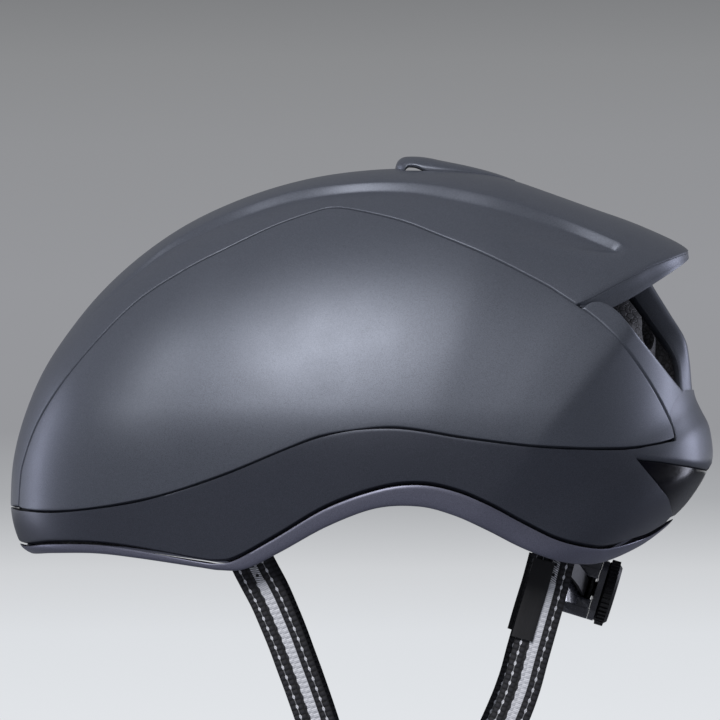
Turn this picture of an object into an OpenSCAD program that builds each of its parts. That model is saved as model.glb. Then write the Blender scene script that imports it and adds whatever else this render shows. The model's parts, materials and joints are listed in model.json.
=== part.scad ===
// Aero road helmet with a rear fit dial and a webbing harness.
// Millimetres. The nose points to -X, the rider's left side is -Y, +Z is up.
// The origin is the top of the rider's head inside the pads.

/* [Shell] */

// Largest half width of the shell
half_w = 103; // [97:1:109]

// Thickness of the moulded skins
skin_t = 1.6; // [1.2:0.1:2]

// Height of the raised spine above the flanks
spine_h = 3; // [1.5:0.5:4]

// Width of the joint line round the side panels
joint_w = 0.8; // [0.6:0.1:1]

// How far the side panels sit below the crown skin
panel_drop = 0.7; // [0.4:0.1:1]

// Thickness of the crown skin along its trailing edge
tail_t = 4; // [2.5:0.5:5]

// Width of the rim's lower flange under the foam
rim_w = 5.5; // [4.5:0.5:6]

// Depth of the gap between the foam and the rear shell inside the exhaust port
port_depth = 16; // [10:1:20]

/* [Head cavity] */

// Half length of the head cavity
head_l = 103; // [99:1:106]

// Half width of the head cavity
head_w = 79; // [76:1:81]

// Height of the domed part of the cavity
head_h = 100; // [98:1:101]

/* [Fit system] */

// Diameter of the fit dial
dial_d = 26.8; // [24:0.2:29]

// Thickness of the fit dial
dial_t = 5.4; // [4.5:0.1:6]

// Backward tilt of the dial axis
dial_tilt = 17; // [10:1:22]

// Number of finger ribs round the dial
dial_ribs = 40; // [24:1:48]

// Pitch radius of the pinion that draws the belts
pinion_r = 5; // [4.5:0.1:5.5]

// Width of a fit belt
belt_w = 7; // [6:0.5:8]

// Thickness of a fit belt
belt_t = 1.2; // [1:0.1:1.4]

/* [Harness] */

// Width of the strap webbing
web_w = 15; // [13:0.5:16]

// Thickness of the strap webbing
web_t = 1.2; // [1:0.1:1.4]

// Half distance between the front straps where they leave the rim
front_y = 77.5; // [77:0.25:78]

// Half distance between the rear straps where they leave the rim
rear_y = 62.5; // [61.5:0.5:62.5]

// Travel of the buckle tongue out of its socket
tongue_travel = 20; // [16:1:21]

/* [Hidden] */

// Lateral axis that the shell sections fan out from, and the section's exponent
cx = 4;
cz = -152;
sup = 2.25;
// Centre of the head cavity, whose walls are vertical below it
hx = -4;
hz = -95;
// The tuck under the widest level
tuck_top = -58;
tuck_len = 66;
tuck_k = 0.09;

// Side view curves, forward-aft and up, in millimetres
profile = [[-129, -119], [-134, -115.5], [-137, -110.5], [-139.3, -102], [-139.6, -94], [-138.6, -80],
  [-135, -65], [-127, -45], [-116.5, -29], [-104.5, -14], [-89, 0.5], [-70.5, 13.5], [-52, 22.5],
  [-34, 29], [-15.5, 33.5], [0, 35.5], [14.5, 36.5], [36, 36], [56, 33.5], [72, 28], [90.5, 21.5],
  [109, 15], [125, 8], [131.5, 4]];
back_profile = [[133, 0], [133, -16], [133, -35], [133.5, -52], [136.5, -60], [139.5, -66], [141, -75],
  [140.7, -81], [138, -87.5], [131.5, -97], [125.5, -103], [116, -113], [107, -119]];
seam_up = [[-136, -98], [-135.5, -89], [-134, -80], [-127.5, -63], [-113.5, -42.5], [-91, -18.5],
  [-70.5, -4.5], [-52, 5], [-34, 13.5], [-18, 19.2], [-10, 20.8], [0, 19.5], [16.5, 15.5], [29.5, 10.5],
  [51, 1.5], [72.5, -9.5], [80, -14.2], [85.5, -17.8]];
seam_back = [[85.5, -17.8], [91, -21.8], [96.5, -26.5], [104.5, -34.5], [112.5, -45.5], [119, -56],
  [122, -62], [125, -69]];
seam_lo = [[-136, -98.4], [-134, -99.2], [-128, -99.8], [-119, -99.6], [-108.5, -98.7], [-92, -96],
  [-75, -92], [-52, -84], [-29, -74.5], [-15.5, -69.5], [0, -67], [12, -66], [23, -67], [41, -70],
  [64.5, -73], [83, -74.2], [96, -74.5], [108, -74.2], [119, -72.6], [125, -71]];
groove = [[-136.4, -112.6], [-133.5, -113.2], [-122.5, -112], [-105, -112], [-88, -114], [-64, -118.3],
  [-56.5, -119], [-49, -117.6], [-33.5, -109], [-13, -97], [7.5, -89.8], [23, -88], [37, -90.5],
  [50.5, -96], [64.5, -103.5], [78, -110], [92, -113.3], [101, -113], [115, -109], [122.5, -104.6],
  [125.8, -102.6]];
rim_low = [[-134.6, -114.8], [-131.5, -117], [-122.5, -116.5], [-105, -116.3], [-88, -118], [-64, -121.4],
  [-55, -122.6], [-45, -122], [-31, -115.2], [-13, -105.4], [6, -98.3], [23, -97.5], [37, -101],
  [50.5, -107], [64.5, -114], [78, -119], [90, -120.6], [99.5, -119], [112, -113.6], [121, -107.4],
  [125, -104.6]];
tail_edge = [[85.5, -17.8], [90.5, -15.8], [99.5, -11], [109, -6], [115.5, -2.5], [125, 1], [130.5, 2.8]];
crease_hi = [[-113, -29.5], [-104.5, -18.5], [-79.5, 3.5], [-61.5, 14.5], [-43, 22], [-24.5, 27.5],
  [0, 30.3], [20, 30.5], [35.5, 28.5], [56, 24], [72, 19], [83.5, 14.7], [95, 10], [104, 6]];
crease_lo = [[-113, -30.5], [-104.5, -19.8], [-79.5, 1.3], [-61.5, 10.5], [-43, 18], [-24.5, 23.3],
  [0, 26.5], [20, 26.2], [35.5, 23.6], [56, 19], [72, 14], [83.5, 10.4], [95, 5.7], [106, 1]];

// Smooth curve through the points of a list, k steps to a span
function cr(a, b, c, d, t) = 0.5 * (2 * b + (c - a) * t + (2 * a - 5 * b + 4 * c - d) * t * t
  + (3 * b - a - 3 * c + d) * t * t * t);
function smooth(p, k) = let(n = len(p))
  [for (i = [0:n - 2], j = [0:k - 1])
    cr(p[max(i - 1, 0)], p[i], p[i + 1], p[min(i + 2, n - 1)], j / k), p[n - 1]];
// The point at fraction f of the index of a fine list
function at(p, f) = let(n = len(p) - 1, g = min(max(f, 0), 1) * n, i = min(floor(g), n - 1))
  p[i] + (p[i + 1] - p[i]) * (g - i);
// Running length of a fine list, and the point at fraction s of its length
function run(p) = [for (i = 0, a = 0; i < len(p); a = a + (i < len(p) - 1 ? norm(p[i + 1] - p[i]) : 0),
  i = i + 1) a];
function index_at(l, s) = let(n = len(l) - 1) lookup(s * l[n], [for (i = [0:n]) [l[i], i]]) / n;
// n + 1 points of a control list, evenly spaced along its length, or bunched at both ends
function even(p, n) = let(f = smooth(p, 4), l = run(f)) [for (i = [0:n]) at(f, index_at(l, i / n))];
function bunched(p, n) = let(f = smooth(p, 4), l = run(f))
  [for (i = [0:n]) at(f, index_at(l, 0.5 - 0.5 * cos(180 * i / n)))];

// Fan angle and radius of a side view point
function fan(p) = [atan2(p[1] - cz, cx - p[0]), norm([p[0] - cx, p[1] - cz])];
fan_table = [for (p = concat(smooth(profile, 4), smooth(back_profile, 4))) fan(p)];
width_table = [[8, half_w - 5], [40, half_w - 3], [80, half_w], [125, half_w], [165, half_w - 3]];
function ramp(a, b, x) = let(t = min(max((x - a) / (b - a), 0), 1)) t * t * (3 - 2 * t);
// The spine stands proud between these fan angles
rise_a = 46;
rise_b = 56;
rise_end = 121.8;
rise_off = 123.4;
function rise(e) = ramp(rise_a, rise_b, e) * (1 - ramp(rise_end, rise_off, e));
function top_r(e) = lookup(e, fan_table);
function base_r(e) = top_r(e) - spine_h * rise(e);
function base_w(e) = lookup(e, width_table);
// Angle off the middle plane of a side view point on the base surface
function side_angle(p) = let(f = fan(p), q = min(f[1] / base_r(f[0]), 0.9995),
  y = base_w(f[0]) * pow(1 - pow(q, sup), 1 / sup)) atan2(y, f[1]);
function fan_point(p) = [fan(p)[0], side_angle(p)];
hi_table = [for (p = smooth(crease_hi, 2)) fan_point(p)];
lo_table = [for (p = smooth(crease_lo, 2)) fan_point(p)];
function crease_a(e) = lookup(e, hi_table);
function crease_b(e) = max(lookup(e, lo_table), crease_a(e) + 0.3);
function rise_at(e, b) = spine_h * rise(e)
  * min(max((crease_b(e) - abs(b)) / (crease_b(e) - crease_a(e)), 0), 1);
function heading(e, b) = [-cos(b) * cos(e), sin(b), cos(b) * sin(e)];
function reach(e, b) = pow(pow(cos(b) / base_r(e), sup) + pow(abs(sin(b)) / base_w(e), sup), -1 / sup)
  + rise_at(e, b);
function tucked(p) = [p[0], p[1] * (1 - tuck_k * ramp(0, tuck_len, tuck_top - p[2])), p[2]];
// Point of the shell surface in direction (e, b), off millimetres outside it
function on(e, b, off) = tucked([cx, 0, cz] + (reach(e, b) + off) * heading(e, b));
// Point of the head cavity, off millimetres outside it
function cavity(e, b, off) = let(
  d = heading(e, b),
  a = [head_l + off, head_w + off, head_h + off],
  o = [(cx - hx) / a[0], 0, (cz - hz) / a[2]],
  v = [d[0] / a[0], d[1] / a[1], d[2] / a[2]],
  t = (-o * v + sqrt(pow(o * v, 2) - v * v * (o * o - 1))) / (v * v),
  p = [cx, 0, cz] + t * d,
  o2 = [o[0], 0, 0],
  v2 = [v[0], v[1], 0],
  t2 = (-o2 * v2 + sqrt(pow(o2 * v2, 2) - v2 * v2 * (o2 * o2 - 1))) / (v2 * v2))
  p[2] >= hz ? p : [cx, 0, cz] + t2 * d;

function flat2(g) = [for (r = g) for (p = r) p];
// Closed solid between two equal grids of points, the first one outside
module skin(a, b, ring = false) {
  n = len(a);
  m = len(a[0]);
  k = n * m;
  rows = ring ? n - 1 : n - 2;
  polyhedron(points = concat(flat2(a), flat2(b)), convexity = 8, faces = concat(
    [for (i = [0:rows], j = [0:m - 2]) let(i1 = (i + 1) % n) for (t = [0, 1])
      t == 0 ? [i * m + j, i * m + j + 1, i1 * m + j + 1] : [i * m + j, i1 * m + j + 1, i1 * m + j]],
    [for (i = [0:rows], j = [0:m - 2]) let(i1 = (i + 1) % n) for (t = [0, 1])
      t == 0 ? [k + i * m + j, k + i1 * m + j + 1, k + i * m + j + 1]
        : [k + i * m + j, k + i1 * m + j, k + i1 * m + j + 1]],
    [for (i = [0:rows]) let(i1 = (i + 1) % n) for (t = [0, 1])
      t == 0 ? [i * m, i1 * m, k + i1 * m] : [i * m, k + i1 * m, k + i * m]],
    [for (i = [0:rows]) let(i1 = (i + 1) % n, e = m - 1) for (t = [0, 1])
      t == 0 ? [i * m + e, k + i * m + e, k + i1 * m + e] : [i * m + e, k + i1 * m + e, i1 * m + e]],
    ring ? [] : [for (j = [0:m - 2]) for (t = [0, 1])
      t == 0 ? [j, k + j, k + j + 1] : [j, k + j + 1, j + 1]],
    ring ? [] : [for (j = [0:m - 2]) let(e = (n - 1) * m) for (t = [0, 1])
      t == 0 ? [e + j, e + j + 1, k + e + j + 1] : [e + j, k + e + j + 1, k + e + j]]));
}
// Closed solid through rings of points, one ring to a station
module tube(g, closed = false) {
  n = len(g);
  m = len(g[0]);
  rows = closed ? n - 1 : n - 2;
  polyhedron(points = flat2(g), convexity = 8, faces = concat(
    [for (i = [0:rows], j = [0:m - 1]) let(i1 = (i + 1) % n, j1 = (j + 1) % m) for (t = [0, 1])
      t == 0 ? [i * m + j, i * m + j1, i1 * m + j1] : [i * m + j, i1 * m + j1, i1 * m + j]],
    closed ? [] : [[for (j = [m - 1:-1:0]) j]],
    closed ? [] : [[for (j = [0:m - 1]) (n - 1) * m + j]]));
}
function unit(v) = v / norm(v);
// Band of section w by t along a path; side gives the outward normal at each point
function band(path, side, w, t) = let(n = len(path))
  [for (i = [0:n - 1]) let(
    d = unit(path[min(i + 1, n - 1)] - path[max(i - 1, 0)]),
    s = unit(side[i] - (side[i] * d) * d),
    c = cross(d, s))
    [path[i] + c * w / 2 + s * t / 2, path[i] - c * w / 2 + s * t / 2,
     path[i] - c * w / 2 - s * t / 2, path[i] + c * w / 2 - s * t / 2]];
module both() {
  children();
  mirror([0, 1, 0]) children();
}

// Colours
graphite = [0.23, 0.23, 0.26];
dark = [0.1, 0.1, 0.12];
black = [0.05, 0.05, 0.05];
pad_black = [0.08, 0.08, 0.09];
web_black = [0.12, 0.12, 0.13];
steel = [0.7, 0.7, 0.72];

// Shell

// Depth of the moulded skins under the surface, and the clearance between pieces
skin_in = skin_t + panel_drop;
gap = 0.35;
foam_gap = 1.25;
pad_gap = 0.85;

// Crown skin, from rib to rib between the two panel seams
crown_n = 28;
tail_n = 8;
seam_pts = concat(bunched(seam_up, crown_n), [for (i = [1:tail_n]) bunched(tail_edge, tail_n)[i]]);
nose_e = fan([-139.5, -97])[0];
tail_e = fan([131.5, 4])[0];
crown_ribs = [for (i = [0:len(seam_pts) - 1]) let(f = fan_point(seam_pts[i]), g = fan_point(seam_up[0]),
  h = fan_point(tail_edge[len(tail_edge) - 1]))
  [nose_e + (f[0] - g[0]) * (tail_e - nose_e) / (h[0] - g[0]), f[0], f[1]]];
// Columns of a rib: the spine, its bevel and the flank down to the edge
function half_cols(a0, b0, s, k) = let(a = min(a0, s * 0.8), b = min(b0, s * 0.88))
  concat([a * 0.5, a], [for (j = [0:k]) b + (s - b) * j / k]);
function cols(h) = concat([for (i = [len(h) - 1:-1:0]) -h[i]], [0], h);
function rib_e(r, b) = r[0] + (r[1] - r[0]) * pow(b / max(r[2], 1), 2);
function crown_cols(r) = cols(half_cols(crease_a(r[0]), crease_b(r[0]), r[2], 3));
crown_out = [for (r = crown_ribs) [for (b = crown_cols(r)) on(rib_e(r, b), b, 0)]];
crown_in = [for (i = [0:len(crown_ribs) - 1]) let(r = crown_ribs[i],
  t = skin_in + (tail_t - skin_in) * ramp(crown_n + 2, crown_n + 5, i))
  [for (b = crown_cols(r)) on(rib_e(r, b), b, -t)]];
// Air scoop opening under the vent hood
scoop_x = 25;
scoop_l = 12;
scoop_w = 30;
module scoop_hole(grow, z0, z1)
  translate([scoop_x, 0, z0]) linear_extrude(z1 - z0)
    square([scoop_l + 2 * grow, scoop_w + 2 * grow], center = true);
module crown_shell() color(graphite)
  resize([0, 0, 0]) difference() {
    skin(crown_out, crown_in);
    scoop_hole(0, 15, 50);
  }

// Arched lip of the vent hood, front to back, in the side view
hood_line = [[15.5, 38], [18, 41.2], [21, 41.5], [26, 41], [32, 40], [41, 38.2], [49, 36.2], [57, 33.8]];
hood_half = 20;
hood_n = 10;
hood_m = 6;
function hood_point(i, j, off) = let(p = even(hood_line, hood_n)[i], s = j / hood_m,
  y = hood_half * s * (1 - 0.25 * pow(i / hood_n, 2)),
  a = 1 - pow(abs(s), 2.4),
  q = fan([p[0] + 8 * pow(abs(s), 2) * (1 - i / hood_n), p[1]]),
  b = atan2(y, q[1]),
  h = max(q[1] - top_r(q[0]), -0.2) * a)
  on(q[0], b, max(h + gap, gap) + off);
module crown_vent_hood() color(graphite)
  skin([for (i = [0:hood_n]) [for (j = [-hood_m:hood_m]) hood_point(i, j, 1.4)]],
    [for (i = [0:hood_n]) [for (j = [-hood_m:hood_m]) hood_point(i, j, 0)]]);

// Side panel, from the lower seam to the upper one
back_n = 10;
panel_n = crown_n + back_n;
panel_m = 8;
panel_hi = concat(bunched(seam_up, panel_n - back_n), [for (i = [1:back_n]) even(seam_back, back_n)[i]]);
panel_lo = bunched(seam_lo, panel_n);
panel_rows = [2:panel_n - 2];
function panel_point(i, t, off) = let(
  a = panel_lo[i], b = panel_hi[i], w = norm(a - b), k = min(joint_w / w, 0.3),
  p = a + (b - a) * (k + (1 - 2 * k) * t), f = fan_point(p)) on(f[0], f[1], off);
module side_panel() color(graphite)
  skin([for (i = panel_rows) [for (j = [panel_m:-1:0]) panel_point(i, j / panel_m, -panel_drop)]],
    [for (i = panel_rows) [for (j = [panel_m:-1:0]) panel_point(i, j / panel_m, -skin_in)]]);

// Lower shell band, upper and lower edges matched station by station, nose to the rear corner
band_hi = [[-139.5, -98.8], [-134, -99.9], [-119, -100.3], [-92, -96.8], [-72, -91.7], [-52, -84.8],
  [-15.5, -70.3], [12, -66.8], [41, -70.8], [64.5, -73.8], [79, -74.9], [88, -75.2], [94, -75.4]];
band_lo = [[-136.6, -112], [-133.5, -112.6], [-119, -111.4], [-96, -112.4], [-80, -114.5], [-62, -117.9],
  [-22, -101.6], [14, -88.4], [43, -92.3], [70, -105.8], [84, -111.3], [96, -112.8], [106, -111.3]];
// Across the rear corner, then the bumper round to the middle of the back
corner_hi = [[94, -75.4], [98, -75.4], [101.5, -75.4], [104.5, -75.3], [107.5, -75], [110, -74.8]];
bumper_hi = [[110, -74.8], [114, -74], [121, -72.7], [125.9, -70.6], [122.9, -61.8], [125.5, -55.5], [129, -52],
  [133.4, -52]];
bumper_lo = [[110.3, -79.6], [113, -77.6], [118, -77.6], [124, -78.6], [129.5, -79.6], [135, -80.6], [138.5, -81.2],
  [141, -81.5]];
// Wedge between the groove and the diagonal edge of the insert, down to its foot
wedge_lo = [[106, -111.3], [110.5, -109.9], [114.5, -108.3], [118.2, -106.5]];
wedge_hi = [[110.3, -79.6], [113.5, -83.6], [116.5, -87.6], [119.2, -91.3]];
wedge_foot = [[158.1, 14], [157.2, 14.7]];
band_k = 2;
band_m = 5;
function tail(p) = [for (i = [1:len(p) - 1]) p[i]];
function edge_point(p, c) = c ? [fan(p)[0], 0] : fan_point(p);
function edge_eb(p, open = false) = let(q = smooth(p, band_k), n = len(q) - 1)
  [for (i = [0:n]) edge_point(q[i], open ? i == n : i == 0)];
// Stations down the left side and back up the right one
function ring_rows(n) = concat([for (i = [0:n]) [i, 1]], [for (i = [n - 1:-1:1]) [i, -1]]);
corner_a = fan_point(band_lo[12]);
corner_b = fan_point(bumper_lo[0]);
bumper_eb = edge_eb(bumper_lo, true);
hi_eb = concat(edge_eb(band_hi), [for (i = [1:band_m]) fan_point(corner_hi[i])], tail(edge_eb(bumper_hi, true)));
lo_eb = concat(edge_eb(band_lo), [for (i = [1:band_m]) corner_a + (corner_b - corner_a) * i / band_m],
  tail(bumper_eb));
band_n = len(hi_eb) - 1;
function band_point(r, t, off) = let(f = lo_eb[r[0]] + (hi_eb[r[0]] - lo_eb[r[0]]) * t) on(f[0], r[1] * f[1], off);
function wedge_eb(p, k) = smooth(concat([for (q = p) fan_point(q)], [wedge_foot[k]]), band_k);
wedge_a = wedge_eb(wedge_lo, 0);
wedge_b = wedge_eb(wedge_hi, 1);
// The wedge is let into the band by its first row, a little thinner than the band
wedge_lap = [0, 0.6];
wedge_step = 0.15;
function wedge_point(i, t, off) = let(f = wedge_a[i] + (wedge_b[i] - wedge_a[i]) * t + (i == 0 ? wedge_lap : [0, 0]))
  on(f[0], f[1], off);
module wedge() both()
  skin([for (i = [0:len(wedge_a) - 1]) [for (j = [band_m:-1:0]) wedge_point(i, j / band_m, -wedge_step)]],
    [for (i = [0:len(wedge_a) - 1]) [for (j = [band_m:-1:0]) wedge_point(i, j / band_m, wedge_step - skin_in)]]);
rail_out = [[88.6, -18.7], [92.4, -21.4], [97.7, -26.1], [105.6, -34.1], [113.7, -45], [120.2, -55.5], [127, -64]];
rail_in = [[90.5, -17.6], [95.5, -17], [102.5, -20.8], [110.5, -30], [119, -39.5], [125.5, -47.5], [131, -58]];
rail_m = 4;
rail_n = 12;
rail_t = 3;
function rail_point(i, j, off) = let(
  a = fan_point(even(rail_out, rail_n)[i]), b = fan_point(even(rail_in, rail_n)[i]), f = a + (b - a) * j / rail_m)
  on(f[0], f[1], off);
strut_line = [[107, 3.5], [117.5, -10.5], [125, -22.5], [130, -31], [132, -40], [133, -49], [133.8, -54]];
strut_half = [10, 10, 10, 10, 11, 13, 15];
strut_d = [5, 7, 7, 7, 7, 6, 3.5];
function strut_ring(i, grow) = let(p = strut_line[i], q = strut_line[min(i + 1, 6)] - strut_line[max(i - 1, 0)],
  n = unit([-q[1], q[0]]), w = strut_half[i] + grow, d = strut_d[i] + grow)
  [for (c = [[0, -0.6], [0, 0.6], [1, 0.95], [2.4, 1], [d, 1], [d, -1], [2.4, -1], [1, -0.95]])
    [p[0] - n[0] * c[0], w * c[1], p[1] - n[1] * c[0]]];
module rails(lift, depth) both()
  skin([for (i = [0:rail_n]) [for (j = [rail_m:-1:0]) rail_point(i, j, lift + sin(180 * j / rail_m))]],
    [for (i = [0:rail_n]) [for (j = [rail_m:-1:0]) rail_point(i, j, -depth)]]);
module strut(grow) tube([for (i = [0:6]) strut_ring(i, grow)]);
module lower_shell() color(dark)
  resize([0, 0, 0]) union() {
    skin([for (r = ring_rows(band_n)) [for (j = [band_m:-1:0]) band_point(r, j / band_m, 0)]],
      [for (r = ring_rows(band_n)) [for (j = [band_m:-1:0]) band_point(r, j / band_m, -skin_in)]], true);
    wedge();
    rails(0.5, rail_t);
    strut(0);
  }

// Gloss insert wrapped round the back under the bumper, inside the opening's own edge
insert_n = 14;
insert_foot = concat(wedge_b, [for (b = [11, 7.5, 4, 0]) [157.4, b]]);
function insert_lo(i) = at(insert_foot, i / insert_n) + (i == insert_n ? [-0.2, 0] : [-0.25, -0.45]);
function insert_hi(i) = at(bumper_eb, i / insert_n) + (i == insert_n ? [0.35, 0] : [0.35, -0.1]);
function insert_point(r, t, off) = let(f = insert_lo(r[0]) + (insert_hi(r[0]) - insert_lo(r[0])) * t)
  on(f[0], r[1] * f[1], off);
insert_rows = concat([for (i = [1:insert_n]) [i, 1]], [for (i = [insert_n - 1:-1:1]) [i, -1]]);
module rear_insert() color(black)
  skin([for (r = insert_rows) [for (j = [4:-1:0]) insert_point(r, j / 4, -0.7)]],
    [for (r = insert_rows) [for (j = [4:-1:0]) insert_point(r, j / 4, -skin_in)]]);

// Lower rim: a moulded angle round the edge of the foam
rim_n = 36;
groove_pts = even(groove, rim_n);
rim_pts = even(rim_low, rim_n);
rim_leg_t = 2;
plan_l = 130;
plan_w = 92;
function plan_in(p) = -unit([(p[0] - hx) / pow(plan_l, 2), p[1] / pow(plan_w, 2), 0]);
function surf(p, c, off) = let(f = c ? [fan(p)[0], 0] : fan_point(p)) on(f[0], f[1], off);
function rim_ring(r) = let(
  i = r[0], c = i == 0 || i == rim_n, g = groove_pts[i], l = rim_pts[i],
  t = g + (l - g) * min(0.9 / norm(l - g), 0.4), m = (t + l) / 2,
  e = surf(l, c, 0.2), n = plan_in(e), k = rim_leg_t,
  ring = [surf(t, c, 0.3), surf(m, c, 0.7), e, e + rim_w * n + [0, 0, 0.5], e + rim_w * n + [0, 0, 0.5 + k],
    e + k * n + [0, 0, k + 0.2], surf(m, c, -1.7), surf(t, c, -2)])
  [for (p = ring) [p[0], r[1] * p[1], p[2]]];
module lower_rim() color(dark)
  tube([for (r = ring_rows(rim_n)) rim_ring(r)], true);

// Foam liner: ribs from rim to rim over the head, recessed behind the exhaust port
foam_n = 38;
foam_k = 5;
foam_lift = rim_leg_t + 2.5;
foam_run = smooth([for (i = [1:len(rim_low) - 4]) rim_low[i] + [0, foam_lift]], 4);
// Ribs spaced by rim length and by fan angle together
foam_turn = 3;
foam_gauge = let(l = run(foam_run)) [for (i = [0:len(l) - 1]) l[i] + foam_turn * fan(foam_run[i])[0]];
foam_step = [for (g = foam_gauge) g - foam_gauge[0]];
foam_low = [for (i = [0:foam_n]) at(foam_run, index_at(foam_step, i / foam_n))];
foam_nose = fan([-135, -111.2])[0];
foam_tail = fan([125.6, -101.6])[0];
rim_z = [for (p = rim_pts) [p[0], p[1]]];
wall_z = rim_leg_t + 2.6;
wall_nose = fan([hx - head_l, lookup(hx - head_l, rim_z) + wall_z])[0];
wall_tail = fan([hx + head_l, -104.6 + wall_z])[0];
function share(i) = (fan(foam_low[i])[0] - fan(foam_low[0])[0])
  / (fan(foam_low[foam_n])[0] - fan(foam_low[0])[0]);
foam_ribs = [for (i = [0:foam_n]) let(f = fan_point(foam_low[i]))
  [foam_nose + (foam_tail - foam_nose) * share(i), f[0], f[1]]];
function wall_point(p) = let(x = hx + (p[0] - hx) * 0.785, z = lookup(x, rim_z) + wall_z,
  y = head_w * sqrt(max(0.0001, 1 - pow((x - hx) / head_l, 2) - pow(max(z - hz, 0) / head_h, 2))),
  r = norm([x - cx, z - cz])) [atan2(z - cz, cx - x), atan2(y, r)];
wall_ribs = [for (i = [0:foam_n]) let(f = wall_point(foam_low[i]))
  [wall_nose + (wall_tail - wall_nose) * share(i), f[0], f[1]]];
port_table = [for (p = smooth(seam_back, 2)) fan_point(p)];
port_ramp = 4;
function port_b(e) = lookup(e, port_table);
function recess(e, b) = port_depth * ramp(118, 122, e) * (1 - ramp(141, 146, e))
  * (1 - ramp(-port_ramp, 0, abs(b) - port_b(e)));
function foam_cols(r) = let(p = min(port_b(r[0]), r[2] * 0.75), a = min(crease_a(r[0]), p * 0.45),
  b = min(crease_b(r[0]), p * 0.65), q = max(p - port_ramp, p * 0.8))
  cols(concat([a * 0.5, a, b, (b + q) / 2, q], [for (j = [0:foam_k]) p + (r[2] - p) * j / foam_k]));
// The foam stands back from the tightly curved corner of the lower shell
relief = 1.5;
foam_out = [for (r = foam_ribs) [for (b = foam_cols(r)) let(e = rib_e(r, b))
  on(e, b, -skin_in - foam_gap - recess(e, b) - relief * ramp(146, 152, e))]];
foam_in = [for (i = [0:foam_n]) let(r = foam_ribs[i], w = wall_ribs[i])
  [for (b = foam_cols(r)) cavity(rib_e(w, b * w[2] / r[2]), b * w[2] / r[2], 0)]];

// Air channels through the foam: one under the scoop, two to the exhaust port
channel_d = 18;
channel_y = 28;
channel_tilt = 76;
module air_channels() {
  scoop_hole(0, -20, 50);
  both() translate([62, channel_y, -40]) rotate([0, channel_tilt, 0]) cylinder(d = channel_d, h = 90, $fn = 24);
}
// Temple anchor axis, its pocket, and the pin in it
temple = [-60, 0, -90];
anchor_d = 18;
anchor_h = 8;
anchor_y = 62.2;
pin_d = 5;
pin_head_d = 9;
pin_head_t = 1.3;
// Slots for the webbing ends
slot_l = web_w + 9;
slot_w = 4.4;
slot_top = -104;
front_top = [-45.5, front_y];
rear_top = [79, rear_y];
module web_slot(p) translate([p[0] - slot_l / 2, p[1] - slot_w / 2, slot_top - 40])
  cube([slot_l, slot_w, 40]);
module eps_liner() color(black)
  resize([0, 0, 0]) difference() {
    skin(foam_out, foam_in);
    strut(foam_gap);
    air_channels();
    both() {
      translate([temple[0], anchor_y - 8, temple[2]]) rotate([-90, 0, 0])
        cylinder(d = anchor_d + 2 * gap, h = anchor_h + 8 + gap, $fn = 32);
      web_slot(front_top);
      web_slot(rear_top);
    }
  }

// Pads

// Point of the cavity wall at a plan angle from the nose and a height
function wall(a, z, off) = let(s = z > hz ? sqrt(1 - pow((z - hz) / (head_h + off), 2)) : 1)
  [hx - (head_l + off) * cos(a) * s, (head_w + off) * sin(a) * s, z];
pad_t = 4.4;
function puff(u, v) = 1.2 + (pad_t - 1.2) * (1 - pow(abs(2 * u - 1), 4)) * (1 - pow(abs(2 * v - 1), 3));
module wall_pad(a0, a1, z0, z1, n, m) color(pad_black)
  skin([for (i = [0:n]) [for (j = [0:m])
      wall(a0 + (a1 - a0) * i / n, z0 + (z1 - z0) * j / m, -pad_gap - puff(i / n, j / m))]],
    [for (i = [0:n]) [for (j = [0:m]) wall(a0 + (a1 - a0) * i / n, z0 + (z1 - z0) * j / m, -pad_gap)]]);
module dome_pad(e0, e1, b, n, m) color(pad_black)
  skin([for (i = [0:n]) [for (j = [-m:m]) cavity(e0 + (e1 - e0) * i / n, b * j / m, -pad_gap)]],
    [for (i = [0:n]) [for (j = [-m:m])
      cavity(e0 + (e1 - e0) * i / n, b * j / m, -pad_gap - puff(i / n, 0.5 + 0.5 * j / m))]]);
module brow_pad() wall_pad(-46, 46, -104, -80, 16, 4);
module side_pad() wall_pad(62, 122, -78, -52, 10, 4);
module crown_pad() dome_pad(54, 92, 9, 10, 4);
module rear_crown_pad() dome_pad(107, 130, 12, 6, 4);

// Rear fit system

// A point drawn against the wall of the medium cavity, moved to the wall as sized
drawn_l = 103;
drawn_w = 79;
function to_wall(p) = [hx + (p[0] - hx) * head_l / drawn_l, p[1] * head_w / drawn_w, p[2]];
dial_at = [hx + head_l + 0.2, 0, -133.2];
module tilted() translate(dial_at) rotate([0, dial_tilt, 0]) children();
function tilt_point(a, y, c) = [dial_at[0] + a * cos(dial_tilt) + c * sin(dial_tilt), y,
  dial_at[2] - a * sin(dial_tilt) + c * cos(dial_tilt)];
shaft_d = 6;
shaft_end = -11.8;
play = 0.4;
cover_t = 2.4;
cover_a = -dial_t / 2 - play - cover_t;
housing_y = 19;
housing_c = 12.2;
housing_a = -17;
rib_h = 0.7;
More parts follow.
